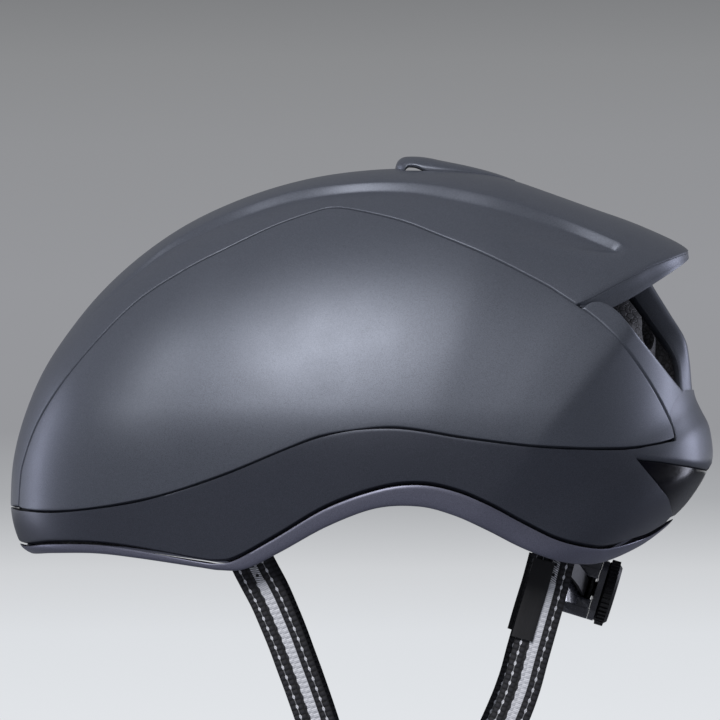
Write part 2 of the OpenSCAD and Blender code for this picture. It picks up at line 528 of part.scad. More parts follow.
// Axially along the tilted dial axis
module spindle(d, a0, a1, n = 64) translate([a0, 0, 0]) rotate([0, 90, 0]) cylinder(d = d, h = a1 - a0, $fn = n);
module dial() color(black) tilted() difference() {
  union() {
    rotate([0, 90, 0]) translate([0, 0, -dial_t / 2 + 0.8]) linear_extrude(dial_t - 2)
      polygon([for (i = [0:dial_ribs - 1], k = [[0, 0], [0.12, 1], [0.48, 1], [0.6, 0]])
        let(a = 360 * (i + k[0]) / dial_ribs, r = dial_d / 2 - rib_h * (1 - k[1])) [r * cos(a), r * sin(a)]]);
    rotate([0, 90, 0]) rotate_extrude($fn = 64) polygon([[0, -dial_t / 2], [dial_d / 2 - 1.6, -dial_t / 2],
      [dial_d / 2 - 0.9, -dial_t / 2 + 0.9], [dial_d / 2 - 0.9, dial_t / 2 - 1.4], [dial_d / 2 - 2.2, dial_t / 2],
      [4.2, dial_t / 2], [3.4, dial_t / 2 - 0.8], [0, dial_t / 2 - 0.8]]);
    spindle(shaft_d, shaft_end, 0);
  }
  spindle(2.9, shaft_end - 1, -4);
}
module pinion() color(dark) tilted() difference() {
  rotate([0, 90, 0]) translate([0, 0, -11.3]) linear_extrude(5.1)
    polygon([for (i = [0:11], k = [[0, -1], [0.22, 1], [0.45, 1], [0.67, -1]])
      let(a = 30 * (i + k[0]), r = pinion_r + 0.7 * k[1]) [r * cos(a), r * sin(a)]]);
  spindle(shaft_d + 0.5, -12, -6);
}
module dial_screw() color(steel) tilted() union() {
  spindle(2.3, shaft_end - play, -5.5, 32);
  spindle(7, shaft_end - play - 1.4, shaft_end - play, 32);
}
module slab(y, c, a0, a1, r) hull() for (i = [-1, 1], j = [-1, 1])
  translate([a0, i * (y - r), j * (c - r)]) rotate([0, 90, 0]) cylinder(r = r, h = a1 - a0, $fn = 24);
module housing_cover() color(dark) tilted() difference() {
  slab(housing_y, housing_c, cover_a, cover_a + cover_t, 4);
  spindle(shaft_d + 0.8, cover_a - 1, cover_a + cover_t + 1);
}
// Cradle arm round the nape, below the rim
arm_draft = [[86.6, 15, -131], [84.2, 24, -130.3], [79.8, 33.5, -129], [74.2, 41.5, -127.5], [70, 46.5, -126.5]];
arm_hold = [1, 1, 0.6, 0.3, 0];
arm_path = [for (i = [0:4]) let(p = arm_draft[i], q = to_wall(p), k = arm_hold[i])
  [q[0] + (p[0] + head_l - drawn_l - q[0]) * k, q[1] + (p[1] - q[1]) * k, q[2]]];
arm_side = [[1, 0.1, 0], [0.98, 0.3, 0], [0.87, 0.55, 0], [0.76, 0.7, 0], [0.72, 0.75, 0]];
module cradle() color(dark) resize([0, 0, 0]) union() {
  tilted() difference() {
    slab(housing_y, housing_c, housing_a, cover_a - gap, 4);
    translate([-14.4, -housing_y - 1, -8]) cube([14.4, 2 * housing_y + 2, 16]);
  }
  both() tube([for (q = band(smooth(arm_path, 3), smooth(arm_side, 3), 13, 2.4)) q]);
  tilted() translate([housing_a + 1, -5.5, housing_c - 3]) cube([2, 11, 5]);
}
nape_path = [for (i = [1:4]) arm_path[i] - 3.9 * unit(arm_side[i])];
nape_side = [for (i = [1:4]) arm_side[i]];
module nape_pad() color(pad_black) tube(band(smooth(nape_path, 3), smooth(nape_side, 3), 16, 4.4));

// Fit belt: eyelet on the temple pin, band along the cavity wall, rack at the pinion
belt_y = 60.8;
belt_path = concat([[-60, belt_y, -90], [-54, belt_y, -90]], [for (p = [[-48.5, 61.4, -90], [-40, 65.4, -90.2],
  [-28, 70, -90.5], [-14, 73.4, -90.8], [5, 75.2, -91.2], [28, 72.4, -93], [48, 65, -97.5], [64, 55.8, -105],
  [77, 44.4, -115.5], [85.8, 31.5, -124.5]]) to_wall(p)]);
belt_side = [[0, 1, 0], [-0.05, 1, 0], [-0.3, 1, 0], [-0.4, 1, 0], [-0.3, 1, 0], [-0.12, 1, 0], [0, 1, 0],
  [0.25, 1, 0], [0.45, 1, 0], [0.7, 0.9, 0], [0.85, 0.7, 0.05], [0.95, 0.4, -0.15], [1, 0.1, -0.3], [1, 0, -0.3]];
rack_y = 13;
rack_h = 7.4;
rack_slot = 6.1;
pinion_teeth = 12;
tooth_pitch = 2 * PI * pinion_r / pinion_teeth;
// Gap of the pinion that stands over the rack at rest
tooth_y = -pinion_r * sin(4.95);
function belt_ends(a) = [tilt_point(a, 19.5, 0), tilt_point(a, rack_y - 1, 0)];
module fit_belt(side, a) color(dark) union() {
  difference() {
    union() {
      translate([temple[0], belt_y - belt_t / 2, temple[2]]) rotate([-90, 0, 0])
        cylinder(d = 11, h = belt_t, $fn = 32);
      tube(band(smooth(concat(belt_path, belt_ends(a)), 3), smooth(belt_side, 3), belt_w, belt_t));
    }
    translate([temple[0], belt_y - 3, temple[2]]) rotate([-90, 0, 0]) cylinder(d = pin_d + 2 * gap, h = 6, $fn = 32);
  }
  tilted() translate([a - belt_t / 2, 0, 0]) rotate([90, 0, 90]) linear_extrude(belt_t) rack(side);
}
// Rack frame in its own plane, with teeth on one long side of the slot
tooth_root = 1.1;
tooth_tip = 0.8;
tooth_h = 1.2;
module rack(side) difference() {
  translate([-12, -rack_h]) square([12 + rack_y, 2 * rack_h]);
  polygon(concat([[9, side * rack_slot], [9, -side * rack_slot], [-9, -side * rack_slot], [-9, side * rack_slot]],
    [for (k = [-3:3], c = [[-tooth_root, 0], [-tooth_tip, tooth_h], [tooth_tip, tooth_h], [tooth_root, 0]])
      [tooth_y + k * tooth_pitch + c[0] / 2, side * (rack_slot - c[1])]]));
}
module temple_anchor() color(dark) difference() {
  translate([temple[0], anchor_y, temple[2]]) rotate([-90, 0, 0]) cylinder(d = anchor_d, h = anchor_h, $fn = 64);
  translate([temple[0], anchor_y - 1, temple[2]]) rotate([-90, 0, 0])
    cylinder(d = pin_d + 2 * gap, h = anchor_h - 0.6, $fn = 64);
}
module temple_pin() color(steel) union() {
  translate([temple[0], belt_y - belt_t / 2 - gap, temple[2]]) rotate([-90, 0, 0])
    cylinder(d = pin_d, h = 8, $fn = 64);
  translate([temple[0], belt_y - belt_t / 2 - gap - pin_head_t, temple[2]]) rotate([-90, 0, 0])
    cylinder(d = pin_head_d, h = pin_head_t, $fn = 64);
}
// Height strip up the inside of the back, and the clip it slides through
hanger_path = concat([tilt_point(-15, 0, 15.1)], [for (p = [[7, -113], [5.4, -104], [5, -93], [5.8, -82], [7.4, -73]])
  [hx + head_l - p[0], 0, p[1]]]);
hanger_side = [for (p = hanger_path) [1, 0, 0]];
module height_strip() color(dark) resize([0, 0, 0]) difference() {
  tube(band(smooth(hanger_path, 3), smooth(hanger_side, 3), 10, belt_t));
  for (z = [-99:5:-79]) translate([hx + head_l - 9, -2.5, z]) cube([8, 5, 2]);
}
clip_x = hx + head_l - 8.8;
module height_clip() color(dark) difference() {
  translate([clip_x, -9, -98]) cube([7.4, 18, 10]);
  translate([clip_x + 1.7, -5.7, -99]) cube([4.2, 11.4, 12]);
}

// Harness

front_path = [[-46.6, front_y, -111.6], [-43.8, front_y, -119], [-40.5, 77.4, -125.5], [-36, 77.2, -134],
  [-32.5, 76.9, -142], [-29, 76.5, -150.5], [-25.5, 76, -160], [-22, 75.4, -169.5], [-17, 74.6, -184],
  [-10, 73.4, -206], [-3, 72.2, -230], [1.8, 71.6, -247], [2.5, 71.5, -254], [2.5, 71.5, -264]];
rear_path = [[79.3, rear_y, -110.6], [77.3, rear_y, -119], [74.2, 63.9, -131.5], [70.4, 64.5, -145],
  [67, 65, -157], [63.4, 65.6, -170], [57.9, 66.2, -184], [47, 67.2, -207], [34, 68.1, -229], [22.5, 68.5, -243.5],
  [17, 68.5, -251.5], [16.5, 68.5, -264]];
function flank(p) = [for (q = p) [0, 1, 0]];
module front_strap() color(web_black) tube(band(smooth(front_path, 2), flank(smooth(front_path, 2)), web_w, web_t));
module rear_strap() color(web_black) tube(band(smooth(rear_path, 2), flank(smooth(rear_path, 2)), web_w, web_t));
// Sewn patch on the outside of the rear strap
patch_path = [for (p = [[73.9, 63.6, -122], [71.1, 63.9, -132.5], [67.9, 64.4, -143], [65, 64.8, -153]])
  p + [0, web_t / 2 + 0.6, 0]];
module strap_patch() color(black) tube(band(smooth(patch_path, 3), flank(smooth(patch_path, 3)), 8.6, 0.5));
module web_anchor(p) translate([p[0] - 10.5, p[1], slot_top - 2.4]) rotate([0, 90, 0])
  cylinder(d = 3.6, h = 21, $fn = 48);
module strap_anchors() color(dark) both() {
  web_anchor(front_top);
  web_anchor(rear_top);
}
// Divider that joins the straps under the ear, with its cam lever
div_at = [9.5, 70, -265.5];
div_x = 18;
div_z = 12.5;
div_t = 8;
lever_at = [div_at[0], div_at[1] + div_t / 2 + 1.6, div_at[2] + 8.5];
lever_x = 9;
module divider() color(dark) difference() {
  union() {
    hull() for (i = [-1, 1], k = [-1, 1]) translate([div_at[0] + i * (div_x - 4 - (k < 0 ? 5 : 0)),
      div_at[1] - div_t / 2, div_at[2] + k * (div_z - 4)]) rotate([-90, 0, 0]) cylinder(r = 4, h = div_t, $fn = 32);
    for (i = [-1, 1]) translate([lever_at[0] + i * (lever_x + 1.9) - 1.4, div_at[1], lever_at[2] - 2.2])
      cube([2.8, div_t / 2 + 3.6, 4.4]);
  }
  translate([2.5 - 8, 70.3, -271]) cube([16, 2.4, 30]);
  translate([16.5 - 8.6, 67.3, -271]) cube([17.2, 2.4, 30]);
  translate([div_at[0] - 8, 68.8, -290]) cube([16, 2.4, 21.5]);
  translate([lever_at[0] - 14, lever_at[1], lever_at[2]]) rotate([0, 90, 0]) cylinder(d = 2.4, h = 28, $fn = 32);
}
module divider_lever() color(dark) union() {
  translate([lever_at[0] - 12, lever_at[1], lever_at[2]]) rotate([0, 90, 0]) cylinder(d = 1.8, h = 24, $fn = 32);
  translate([lever_at[0] - lever_x, lever_at[1], lever_at[2]]) rotate([0, 90, 0])
    cylinder(d = 2.4, h = 2 * lever_x, $fn = 32);
  translate([lever_at[0] - lever_x, lever_at[1] - 0.9, lever_at[2] - 16]) cube([2 * lever_x, 1.8, 16]);
}
// Chin straps, buckle socket and tongue
buckle = [4, 0, -312];
chin_path = [[9.5, 70, -270], [9.4, 69.8, -279], [8.6, 66, -290], [7.2, 57, -300], [5.6, 44, -308],
  [4.4, 32, -311.6], [4, 24, -312], [4, 18.5, -312]];
chin_side = [[0, 1, 0], [0, 1, -0.1], [0, 0.85, -0.5], [0, 0.65, -0.75], [0, 0.4, -0.92], [0, 0.12, -1],
  [0, 0, -1], [0, 0, -1]];
module chin_strap() color(web_black) tube(band(smooth(chin_path, 2), smooth(chin_side, 2), web_w, web_t));
module block(x, y0, y1, z) translate([buckle[0] - x, y0, buckle[2] - z]) cube([2 * x, y1 - y0, 2 * z]);
// Tip of the tongue's prongs, which clear the mouth at y 2 with the tongue out
prong_tip = 8.2 - tongue_travel;
module buckle_socket() color(dark) difference() {
  hull() for (i = [-1, 1], k = [-1, 1]) translate([buckle[0] + i * 10.5, -25, buckle[2] + k * 2])
    rotate([-90, 0, 0]) cylinder(r = 2.5, h = 27, $fn = 32);
  block(10.4, prong_tip - 2.7, 3, 2.4);
  block(8, -26, -17, 1.1);
  for (i = [-1, 1]) translate([buckle[0] + i * 11 - 3, prong_tip - 0.7, buckle[2] - 1.6]) cube([6, 8, 3.2]);
}
module buckle_tongue() color(dark) difference() {
  union() {
    hull() for (i = [-1, 1], k = [-1, 1]) translate([buckle[0] + i * 10.5, 2.4, buckle[2] + k * 2])
      rotate([-90, 0, 0]) cylinder(r = 2.5, h = 22.6, $fn = 32);
    block(2, prong_tip - 1.7, 3, 2);
    for (i = [-1, 1]) {
      translate([buckle[0] + i * 7.5 - 1.5, prong_tip + 0.8, buckle[2] - 1.3]) cube([3, 3 - prong_tip, 2.6]);
      translate([buckle[0] + i * 8 - 2.2, prong_tip, buckle[2] - 1.3]) cube([4.4, 3.4, 2.6]);
    }
  }
  block(8, 17, 27, 1.1);
}
module strap_keeper() color(black) let(p = chin_path[3]) translate([p[0] - 0.3, -p[1], p[2]]) rotate([-39, 0, 0])
  difference() {
    cube([19.6, 6, 5.2], center = true);
    cube([16.8, 8, 2.6], center = true);
  }

module left() mirror([0, 1, 0]) children();
crown_shell();
crown_vent_hood();
left() side_panel();  // side_panel_left
side_panel();  // side_panel_right
lower_shell();
rear_insert();
lower_rim();
eps_liner();
brow_pad();
crown_pad();
rear_crown_pad();
left() side_pad();  // side_pad_left
side_pad();  // side_pad_right
left() temple_anchor();  // temple_anchor_left
temple_anchor();  // temple_anchor_right
left() temple_pin();  // temple_pin_left
temple_pin();  // temple_pin_right
left() fit_belt(1, -10.2);  // fit_belt_left
fit_belt(-1, -7.3);  // fit_belt_right
height_strip();
height_clip();
cradle();
housing_cover();
dial();
pinion();
dial_screw();
left() nape_pad();  // nape_pad_left
nape_pad();  // nape_pad_right
strap_anchors();
left() front_strap();  // front_strap_left
front_strap();  // front_strap_right
left() rear_strap();  // rear_strap_left
rear_strap();  // rear_strap_right
left() strap_patch();  // strap_patch_left
strap_patch();  // strap_patch_right
left() divider();  // divider_left
divider();  // divider_right
left() divider_lever();  // divider_lever_left
divider_lever();  // divider_lever_right
left() chin_strap();  // chin_strap_left
chin_strap();  // chin_strap_right
buckle_socket();
buckle_tongue();
strap_keeper();
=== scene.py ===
"""Looks of the aero helmet, laid out as a Blender add-on.

Every point below is written in millimetres in the row frame and turned into metres when a mesh is made.
The nose points to -X, the rider's left side is -Y and +Z is up.
"""

import functools
import json
import math

import bpy
import numpy as np
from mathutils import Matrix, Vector


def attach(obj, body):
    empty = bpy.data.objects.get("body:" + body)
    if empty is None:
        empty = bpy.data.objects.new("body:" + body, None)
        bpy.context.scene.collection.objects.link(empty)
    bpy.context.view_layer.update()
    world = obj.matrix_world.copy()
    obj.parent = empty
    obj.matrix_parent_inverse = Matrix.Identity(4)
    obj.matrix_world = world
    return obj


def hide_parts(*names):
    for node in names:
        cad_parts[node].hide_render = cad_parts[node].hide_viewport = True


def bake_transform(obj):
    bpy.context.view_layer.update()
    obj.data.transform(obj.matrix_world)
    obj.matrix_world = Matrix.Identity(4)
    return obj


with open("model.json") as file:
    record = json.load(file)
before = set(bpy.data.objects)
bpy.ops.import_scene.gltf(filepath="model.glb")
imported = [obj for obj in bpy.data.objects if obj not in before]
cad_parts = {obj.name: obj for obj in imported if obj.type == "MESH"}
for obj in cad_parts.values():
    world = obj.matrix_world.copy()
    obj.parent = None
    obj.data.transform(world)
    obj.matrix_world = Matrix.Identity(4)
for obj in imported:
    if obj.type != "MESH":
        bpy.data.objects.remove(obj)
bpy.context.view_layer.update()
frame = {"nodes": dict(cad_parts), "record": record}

bl_info = {
    "name": "Aero helmet",
    "version": (1, 0, 0),
    "blender": (4, 5, 0),
    "location": "View3D > Sidebar > Helmet",
    "description": "Builds the shells, liner, pads, harness and stage of an aero helmet",
    "category": "Object",
}

MM = 0.001

# Takes a point from the right side to the left
FLIP = np.array([1, -1, 1])

# Lateral axis of the shell's fan, exponent of its sections and half width at its widest
FAN_X, FAN_Z, POWER, HALF_W = 4.0, -152.0, 2.25, 103.0
# Depth of the skins, radius of their edges, height of the spine, and room between the band and the rim's groove
DEPTH, EDGE, SPINE, GROOVE_GAP = 2.3, 0.35, 3.0, 0.65
# Fan angles over which the spine grows behind the nose and ends before the tail
GROWS, ENDS = (46, 80), (121.8, 123.4)

# Side view lines as (x, z). The outline on the middle plane: over the top, then down the back
PROFILE = [(-129, -119), (-134, -115.5), (-137, -110.5), (-139.3, -102), (-139.6, -94), (-138.6, -80),
           (-135, -65), (-127, -45), (-116.5, -29), (-104.5, -14), (-89, 0.5), (-70.5, 13.5), (-52, 22.5),
           (-34, 29), (-15.5, 33.5), (0, 35.5), (14.5, 36.5), (36, 36), (56, 33.5), (72, 28), (90.5, 21.5),
           (109, 15), (125, 8), (131.5, 4)]
BACK = [(133, 0), (133, -16), (133, -35), (133.5, -52), (136.5, -60), (139.5, -66), (141, -75),
        (140.7, -81), (138, -87.5), (131.5, -97), (125.5, -103), (116, -113), (107, -119)]
# Seams round the side panel: upper, rear and lower
SEAM_UP = [(-136, -98), (-135.5, -89), (-134, -80), (-127.5, -63), (-113.5, -42.5), (-91, -18.5),
           (-70.5, -4.5), (-52, 5), (-34, 13.5), (-18, 19.2), (-10, 20.8), (0, 19.5), (16.5, 15.5), (29.5, 10.5),
           (51, 1.5), (72.5, -9.5), (80, -14.2), (85.5, -17.8)]
SEAM_BACK = [(85.5, -17.8), (91, -21.8), (96.5, -26.5), (104.5, -34.5), (112.5, -45.5), (119, -56),
             (122, -62), (125, -69)]
SEAM_LO = [(-136, -98.4), (-134, -99.2), (-128, -99.8), (-119, -99.6), (-108.5, -98.7), (-92, -96),
           (-75, -92), (-52, -84), (-29, -74.5), (-15.5, -69.5), (0, -67), (12, -66), (23, -67), (41, -70),
           (64.5, -73), (83, -74.2), (96, -74.5), (108, -74.2), (119, -72.6), (125, -71)]
# Trailing edge of the crown, and the two creases of the spine's bevel
TAIL_EDGE = [(85.5, -17.8), (90.5, -15.8), (99.5, -11), (109, -6), (115.5, -2.5), (125, 1), (130.5, 2.8)]
CREASE_HI = [(-113, -29.5), (-104.5, -18.5), (-79.5, 3.5), (-61.5, 14.5), (-43, 22), (-24.5, 27.5),
             (0, 30.3), (20, 30.5), (35.5, 28.5), (56, 24), (72, 19), (83.5, 14.7), (95, 10), (104, 6)]
CREASE_LO = [(-113, -30.5), (-104.5, -19.8), (-79.5, 1.3), (-61.5, 10.5), (-43, 18), (-24.5, 23.3),
             (0, 26.5), (20, 26.2), (35.5, 23.6), (56, 19), (72, 14), (83.5, 10.4), (95, 5.7), (106, 1)]
# Rim: its upper and its lower line
GROOVE = [(-136.4, -112.6), (-133.5, -113.2), (-122.5, -112), (-105, -112), (-88, -114), (-64, -118.3),
          (-56.5, -119), (-49, -117.6), (-33.5, -109), (-13, -97), (7.5, -89.8), (23, -88), (37, -90.5),
          (50.5, -96), (64.5, -103.5), (78, -110), (92, -113.3), (101, -113), (115, -109), (122.5, -104.6),
          (125.8, -102.6)]
RIM_LOW = [(-134.6, -114.8), (-131.5, -117), (-122.5, -116.5), (-105, -116.3), (-88, -118), (-64, -121.4),
           (-55, -122.6), (-45, -122), (-31, -115.2), (-13, -105.4), (6, -98.3), (23, -97.5), (37, -101),
           (50.5, -107), (64.5, -114), (78, -119), (90, -120.6), (99.5, -119), (112, -113.6), (121, -107.4),
           (125, -104.6)]
# Band: upper and lower edge, the corner to the bumper and the bumper's two edges
BAND_HI = [(-139.5, -98.8), (-134, -99.9), (-119, -100.3), (-92, -96.8), (-72, -91.7), (-52, -84.8),
           (-15.5, -70.3), (12, -66.8), (41, -70.8), (64.5, -73.8), (79, -74.9), (88, -75.2), (94, -75.4)]
BAND_LO = [(-136.6, -112), (-133.5, -112.6), (-119, -111.4), (-96, -112.4), (-80, -114.5), (-62, -117.9),
           (-22, -101.6), (14, -88.4), (43, -92.3), (70, -105.8), (84, -111.3), (96, -112.8), (106, -110.95)]
CORNER_HI = [(94, -75.4), (98, -75.4), (101.5, -75.4), (104.5, -75.3), (107.5, -75), (110, -74.8)]
BUMPER_HI = [(110, -74.8), (114, -74), (121, -72.7), (125.9, -70.6), (122.9, -61.8), (125.5, -55.5),
             (129, -52), (133.4, -52)]
BUMPER_LO = [(108.3, -78.1), (111.6, -78.8), (116, -79.2), (120.7, -79.7), (129.6, -81.2), (135, -82.1),
             (138.5, -82.7), (141, -83.1)]
# Wedge below the insert: its two edges, and its foot as (fan angle, side angle)
WEDGE_LO = [(106, -110.95), (110.5, -109.7), (114.5, -108.5), (118.2, -106.6)]
WEDGE_HI = [(108.3, -78.1), (111.8, -82.3), (115.3, -86.5), (119.2, -91.3), (122, -94.9)]
WEDGE_FOOT = [(158.1, 14.0), (157.2, 14.7)]
# Exhaust port: the rail's two edges, the strut's silhouette, inner line and half width, the tail's lower line
RAIL_OUT = [(87.6, -18.9), (91.2, -21.6), (96.7, -26.3), (104.7, -34.3), (112.7, -45.3), (119.2, -55.8),
            (122.2, -61.9), (125.2, -68.7)]
RAIL_IN = [(91, -16.6), (95.8, -16.2), (102.4, -20), (110.5, -29.6), (118.8, -39.7), (125.2, -47.6),
           (128.5, -51.6), (132, -58)]
STRUT = [(110, 3), (117, -10), (124, -21.4), (130, -31.4), (131.8, -40), (132.6, -49), (133.4, -57)]
STRUT_IN = [(101, -2), (110, -15), (117.5, -25.8), (124.5, -36), (127, -43), (127.6, -50.5), (129, -58)]
STRUT_HALF = [11, 10.5, 10, 10, 11.5, 14, 17]
TAIL_LOW = [(85.5, -18.6), (92, -20.5), (98, -20), (102.7, -18), (110.4, -13.8), (118, -9), (127.4, -2.8),
            (130.9, -0.1)]
HOOD = [(14.1, 36.5), (14.5, 38.2), (15.6, 40), (18, 41.2), (23.2, 41.3), (28, 40.7), (32.2, 39.8),
        (41.2, 38), (48, 36.4), (55, 34.4), (62, 31.9)]


# Curves ------------------------------------------------------------------------------------------------
def smooth(points, k=12):
    """Catmull-Rom curve through the points: k even parameter steps to each span."""
    p = np.asarray(points, float)
    n = len(p)
    i = np.repeat(np.arange(n - 1), k)
    t = np.tile(np.arange(k) / k, n - 1)[:, None]
    a, b, c, d = p[np.maximum(i - 1, 0)], p[i], p[i + 1], p[np.minimum(i + 2, n - 1)]
    q = 0.5 * (2 * b + (c - a) * t + (2 * a - 5 * b + 4 * c - d) * t**2 + (3 * b - a - 3 * c + d) * t**3)
    return np.vstack([q, p[-1:]])


def along(points, s, values=None):
    """Points of a fine polyline at its length fractions s, or the values given for them."""
    p = np.asarray(points, float)
    run = np.concatenate([[0], np.cumsum(np.linalg.norm(np.diff(p, axis=0), axis=1))])
    return np.stack([np.interp(s * run[-1], run, v) for v in (p if values is None else values).T], -1)


def ramp(a, b, x):
    """Smoothstep from 0 at a to 1 at b."""
    t = np.clip((x - a) / (b - a), 0, 1)
    return t * t * (3 - 2 * t)


def unit(v):
    """Rows of v at length one."""
    return v / np.maximum(np.linalg.norm(v, axis=-1, keepdims=True), 1e-9)


# The shell's surface -----------------------------------------------------------------------------------
def fan(p):
    """Fan angle from the nose and radius of side view points: atan2(z - FAN_Z, FAN_X - x), distance."""
    p = np.asarray(p, float)
    x, z = p[..., 0] - FAN_X, p[..., 1] - FAN_Z
    return np.stack([np.degrees(np.arctan2(z, -x)), np.hypot(x, z)], -1)


def soften(table, grid, width):
    """Gaussian mean of a table over the grid of angles, width degrees wide."""
    y = np.interp(grid, table[:, 0], table[:, 1])
    step = grid[1] - grid[0]
    n = int(4 * width / step)
    k = np.exp(-0.5 * (np.arange(-n, n + 1) * step / width) ** 2)
    return np.convolve(np.pad(y, n, mode="edge"), k / k.sum(), mode="valid")


# Radius and half width at each fan angle. The nose and the tail keep their detail and the dome is smoothed more
ANGLES = np.arange(0, 200, 0.1)
_raw = fan(np.vstack([smooth(PROFILE, 16), smooth(BACK, 16)]))
_fine, _soft = soften(_raw, ANGLES, 0.35), soften(_raw, ANGLES, 2.2)
_blend = ramp(22, 32, ANGLES) * (1 - ramp(112, 119, ANGLES))
RADII = _fine + (_soft - _fine) * _blend
WIDTHS = soften(np.array([(8, HALF_W - 5), (40, HALF_W - 3), (80, HALF_W), (125, HALF_W), (165, HALF_W - 3)]),
                ANGLES, 7)
# Side angle of the spine's rear end: first beyond every point, then taken from the lower crease
SPINE_END = 90.0


def rise(e):
    """Share of the spine's height at a fan angle: it grows behind the nose and ends before the tail."""
    return ramp(*GROWS, e) * (1 - ramp(*ENDS, e))


def drop_at(e, b):
    """Share of the drop of the flanks beside the spine: it ends in a short wall behind the spine's end, and
    runs out over a longer way farther from the middle."""
    way = 1.6 + 34 * ramp(0, 8, np.abs(b) - SPINE_END)
    return ramp(*GROWS, e) * (1 - ramp(0, 1, (e - ENDS[1] + way) / way))


def base_r(e, b=0.0):
    """Radius of the middle section without the spine."""
    return np.interp(e, ANGLES, RADII) - SPINE * drop_at(e, b)


def base_w(e):
    """Half width of the section."""
    return np.interp(e, ANGLES, WIDTHS)


def fan_point(p, lift=0.0):
    """Fan angle and side angle of the surface point seen at a side view point, lift outside the flanks."""
    f = fan(p)
    b = np.zeros(f.shape[:-1])
    for _ in range(8):
        q = np.clip((f[..., 1] - lift * np.cos(np.radians(b))) / base_r(f[..., 0], b), 0, 0.9995)
        b = np.degrees(np.arctan2(base_w(f[..., 0]) * (1 - q**POWER) ** (1 / POWER), f[..., 1]))
    return np.stack([f[..., 0], b], -1)


_top = smooth(CREASE_HI, 8)
_hi, _lo = fan_point(_top, SPINE * rise(fan(_top)[:, 0])), fan_point(smooth(CREASE_LO, 8))
SPINE_END = float(np.interp(ENDS[0], _lo[:, 0], _lo[:, 1]))


def crease_a(e):
    """Side angle of the upper crease."""
    return np.interp(e, _hi[:, 0], _hi[:, 1])


def crease_b(e):
    """Side angle of the lower crease."""
    return np.maximum(np.interp(e, _lo[:, 0], _lo[:, 1]), crease_a(e) + 0.3)


def rise_at(e, b):
    """Height of the spine: full inside the upper crease, none outside the lower, its corners just eased."""
    t = (crease_b(e) - np.abs(b)) / (crease_b(e) - crease_a(e))
    soft = 0.06
    up = np.logaddexp(0, t / soft) - np.logaddexp(0, (t - 1) / soft)
    return SPINE * rise(e) * soft * up


def heading(e, b):
    """Unit vector of fan angle e and side angle b: (-cos b cos e, sin b, cos b sin e)."""
    e, b = np.radians(e), np.radians(b)
    return np.stack([-np.cos(b) * np.cos(e), np.sin(b), np.cos(b) * np.sin(e)], -1)


def on(e, b, off=0.0):
    """Surface point in direction (e, b), off millimetres outside: superellipse of the side radius and the
    half width, r = ((cos b / R)^n + (sin b / W)^n)^(-1/n) + rise, drawn in a little below the widest level."""
    e, b = np.broadcast_arrays(np.asarray(e, float), np.asarray(b, float))
    c, s = np.cos(np.radians(b)), np.abs(np.sin(np.radians(b)))
    r = ((c / base_r(e, b)) ** POWER + (s / base_w(e)) ** POWER) ** (-1 / POWER) + rise_at(e, b) + off
    p = heading(e, b) * r[..., None] + np.array([FAN_X, 0, FAN_Z])
    p[..., 1] *= 1 - 0.09 * ramp(0, 66, -58 - p[..., 2])
    return p


def at(f, off=0.0):
    """Surface points of an array of (fan angle, side angle)."""
    return on(f[..., 0], f[..., 1], off)


def borders(grid):
    """Distances of a grid's points from its first and last column and its first and last row."""
    return [np.linalg.norm(grid - edge, axis=-1) for edge in (grid[:, :1], grid[:, -1:], grid[:1], grid[-1:])]


def between(a, b, t):
    """Grid of points at the fractions t from each point of a to its fellow of b."""
    return a[:, None] + (b - a)[:, None] * t[None, :, None]


# Meshes ------------------------------------------------------------------------------------------------
def roll(d, r):
    """Drop of a rounded edge of radius r at distance d from it: r - sqrt(r^2 - (r - d)^2)."""
    x = np.clip(r - d, 0, r)
    return r - np.sqrt(np.maximum(r * r - x * x, 0))


def edge_steps(n, length, r):
    """Fractions of a length: n even steps with four more inside each rounded end."""
    k = min(r / max(length, 1e-6), 0.4)
    f = np.array([0, 0.06, 0.22, 0.55])
    return np.unique(np.concatenate([f * k, np.linspace(k, 1 - k, n), 1 - f * k]))


def quads(n, m, ring=False, tube=False):
    """Vertex numbers of the cells of an n by m grid, closed along rows with ring and columns with tube."""
    i, j = np.meshgrid(np.arange(n if ring else n - 1), np.arange(m if tube else m - 1), indexing="ij")
    i1, j1 = (i + 1) % n, (j + 1) % m
    return np.stack([i * m + j, i * m + j1, i1 * m + j1, i1 * m + j], -1).reshape(-1, 4)


def node_parts(name):
    """Welded points in mm and triangles of a carried node, for a piece that keeps its form."""
    ob = frame["nodes"][name]
    me = ob.data
    v, f = np.empty(len(me.vertices) * 3), np.empty(len(me.loops), int)
    me.vertices.foreach_get("co", v)
    me.loops.foreach_get("vertex_index", f)
    m = np.array(ob.matrix_world)
    v = (v.reshape(-1, 3) @ m[:3, :3].T + m[:3, 3]) / MM
    _, first, back = np.unique(np.round(v, 3), axis=0, return_index=True, return_inverse=True)
    v, f = v[first], back.ravel()[f].reshape(-1, 3)
    return v, f[(f[:, 0] != f[:, 1]) & (f[:, 1] != f[:, 2]) & (f[:, 2] != f[:, 0])]


def ready():
    """Stops a step with an error while the materials are missing."""
    if not MATS:
        raise RuntimeError("the Materials step comes first")


